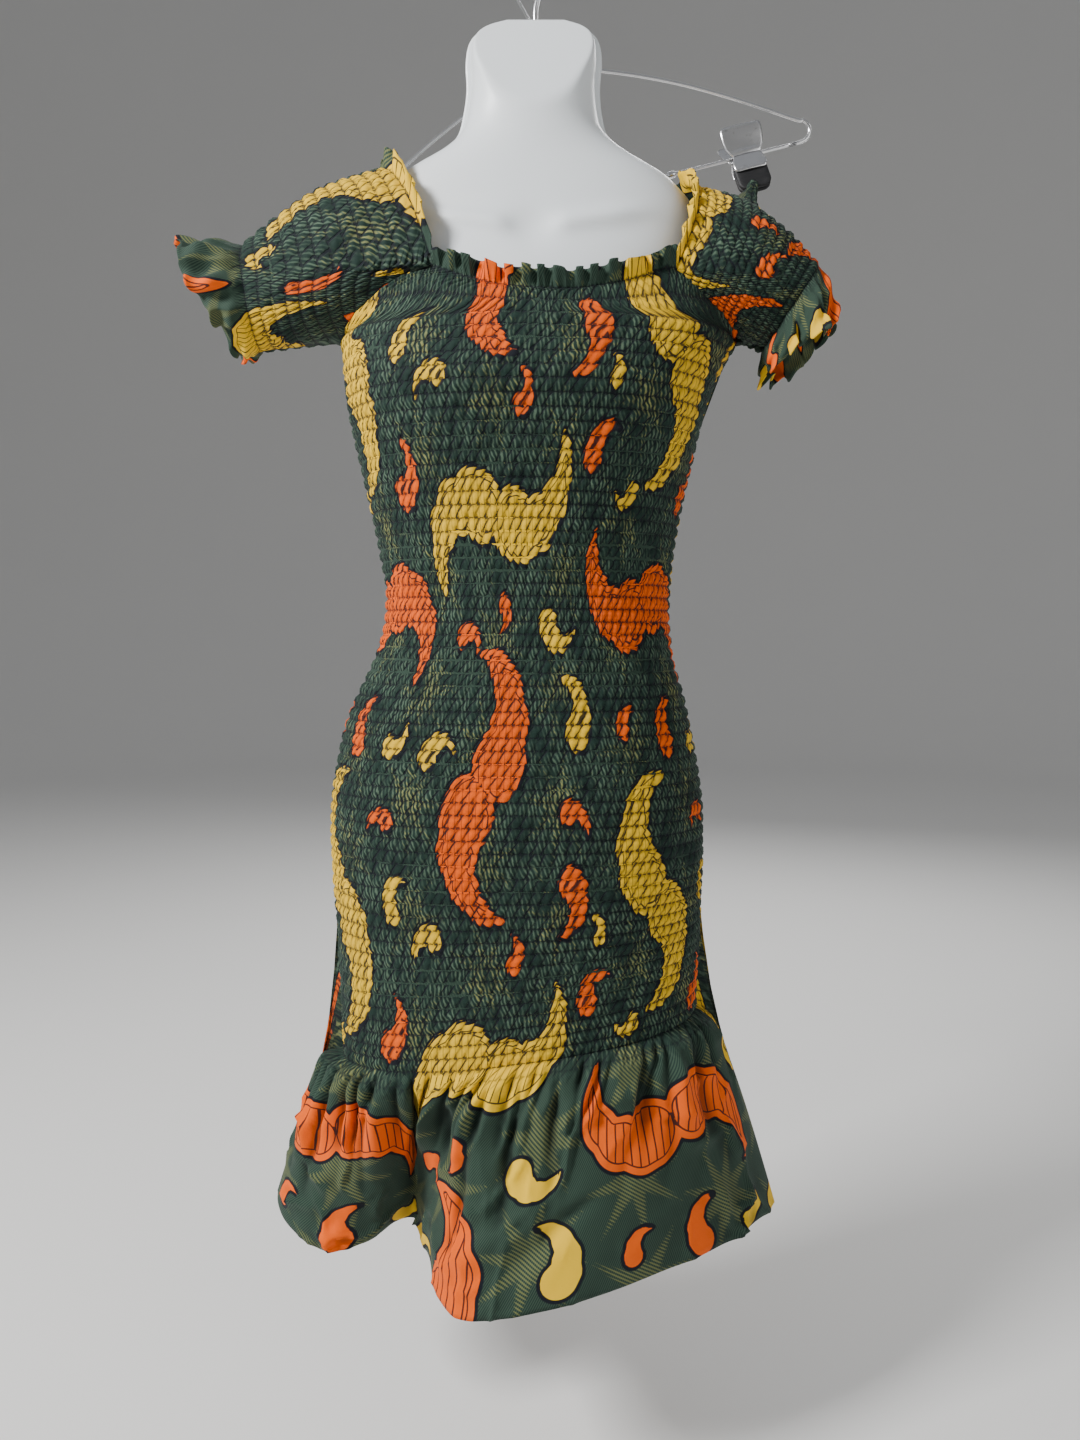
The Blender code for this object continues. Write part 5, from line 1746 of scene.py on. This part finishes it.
class SetStage(bpy.types.Operator):
    """Pale floor that turns up all round, soft lights and the camera"""
    bl_idname = "dress.set_stage"
    bl_label = "Stage"

    def execute(self, context):
        settings = context.scene.dress_stage
        self.make_floor(settings)
        self.make_lights(settings)
        camera = bpy.data.objects.new("camera", bpy.data.cameras.new("camera"))
        context.scene.collection.objects.link(camera)
        camera.location = CAMERA_PLACE
        camera.rotation_euler = ((90 - CAMERA_DOWN) * pi / 180, 0, 0)
        camera.data.lens = LENS_MM
        camera.data.sensor_width = SENSOR_MM
        camera.data.sensor_fit = "AUTO"
        camera.data.clip_start = 0.02
        context.scene.camera = camera
        return {"FINISHED"}

    def make_floor(self, settings):
        """A round floor that turns up into a wall."""
        finish = Finish("pale_floor", 0.85)
        place = finish.place()
        shade = finish.noise(place, 1.5, 3.0)
        finish.join(finish.blend(finish.maths("MULTIPLY", shade, 0.10), tuple(settings.floor),
                                 (0.60, 0.60, 0.60, 1)), finish.shader.inputs["Base Color"])
        finish.bump(finish.noise(place, 300.0), 0.0002, 0.3)
        sides = FLOOR_SIDES
        profile = [(0.5, 0.0), (1.5, 0.0), (FLOOR_REACH - FLOOR_TURN, 0.0)]
        for step in range(1, FLOOR_TURN_STEPS + 1):
            angle = pi / 2 * step / FLOOR_TURN_STEPS
            profile.append((FLOOR_REACH - FLOOR_TURN * (1 - sin(angle)),
                            FLOOR_TURN * (1 - cos(angle))))
        profile.append((FLOOR_REACH, FLOOR_WALL))
        verts = [(r * cos(2 * pi * s / sides), r * sin(2 * pi * s / sides), FLOOR_Z + h)
                 for r, h in profile for s in range(sides)]
        faces = [tuple(range(sides))]
        for a in range(0, (len(profile) - 1) * sides, sides):
            for s in range(sides):
                t = (s + 1) % sides
                faces.append((a + s, a + sides + s, a + sides + t, a + t))
        floor = make_object("floor", verts, faces, finish.material)
        floor.data.shade_smooth()

    def make_lights(self, settings):
        """Even light from all round and three soft lights."""
        world = bpy.data.worlds.new("even_light")
        world.use_nodes = True
        background = world.node_tree.nodes["Background"]
        background.inputs["Color"].default_value = SKY_COLOUR
        background.inputs["Strength"].default_value = settings.sky
        bpy.context.scene.world = world
        for name, place, size, share in LIGHTS:
            data = bpy.data.lights.new(name, "AREA")
            data.size = size
            data.energy = settings.key_power * share
            light = bpy.data.objects.new(name, data)
            bpy.context.scene.collection.objects.link(light)
            light.location = place
            light.rotation_euler = (LIGHTS_AIM - light.location).to_track_quat("-Z", "Y") \
                .to_euler()


class DressPanel(bpy.types.Panel):
    """Lists the pieces and their settings"""
    bl_idname = "VIEW3D_PT_dress"
    bl_label = "Shirred dress"
    bl_space_type = "VIEW_3D"
    bl_region_type = "UI"
    bl_category = "Dress"

    def draw(self, context):
        groups = ((context.scene.dress_cloth, (MakePanel, MakeSleeves)),
                  (context.scene.dress_form, (MakeForm,)),
                  (context.scene.dress_hanger, (MakeHooks, MakeClips)),
                  (context.scene.dress_stage, (SetStage,)))
        for settings, operators in groups:
            box = self.layout.box()
            for name in settings.__annotations__:
                box.prop(settings, name)
            for operator in operators:
                box.operator(operator.bl_idname)


SETTINGS = (("dress_cloth", ClothSettings), ("dress_form", FormSettings),
            ("dress_hanger", HangerSettings), ("dress_stage", StageSettings))
OPERATORS = (SetStage, MakeForm, MakeHooks, MakeClips, MakePanel, MakeSleeves)


def register():
    for name, group in SETTINGS:
        bpy.utils.register_class(group)
        setattr(bpy.types.Scene, name, bpy.props.PointerProperty(type=group))
    for operator in (*OPERATORS, DressPanel):
        bpy.utils.register_class(operator)


def unregister():
    for operator in reversed((*OPERATORS, DressPanel)):
        bpy.utils.unregister_class(operator)
    for name, group in reversed(SETTINGS):
        delattr(bpy.types.Scene, name)
        bpy.utils.unregister_class(group)


def main():
    register()
    bpy.ops.dress.set_stage()
    bpy.ops.dress.make_form()
    bpy.ops.dress.make_hooks()
    bpy.ops.dress.make_clips()
    bpy.ops.dress.make_panels()
    bpy.ops.dress.make_sleeves()


if __name__ == "__main__":
    main()
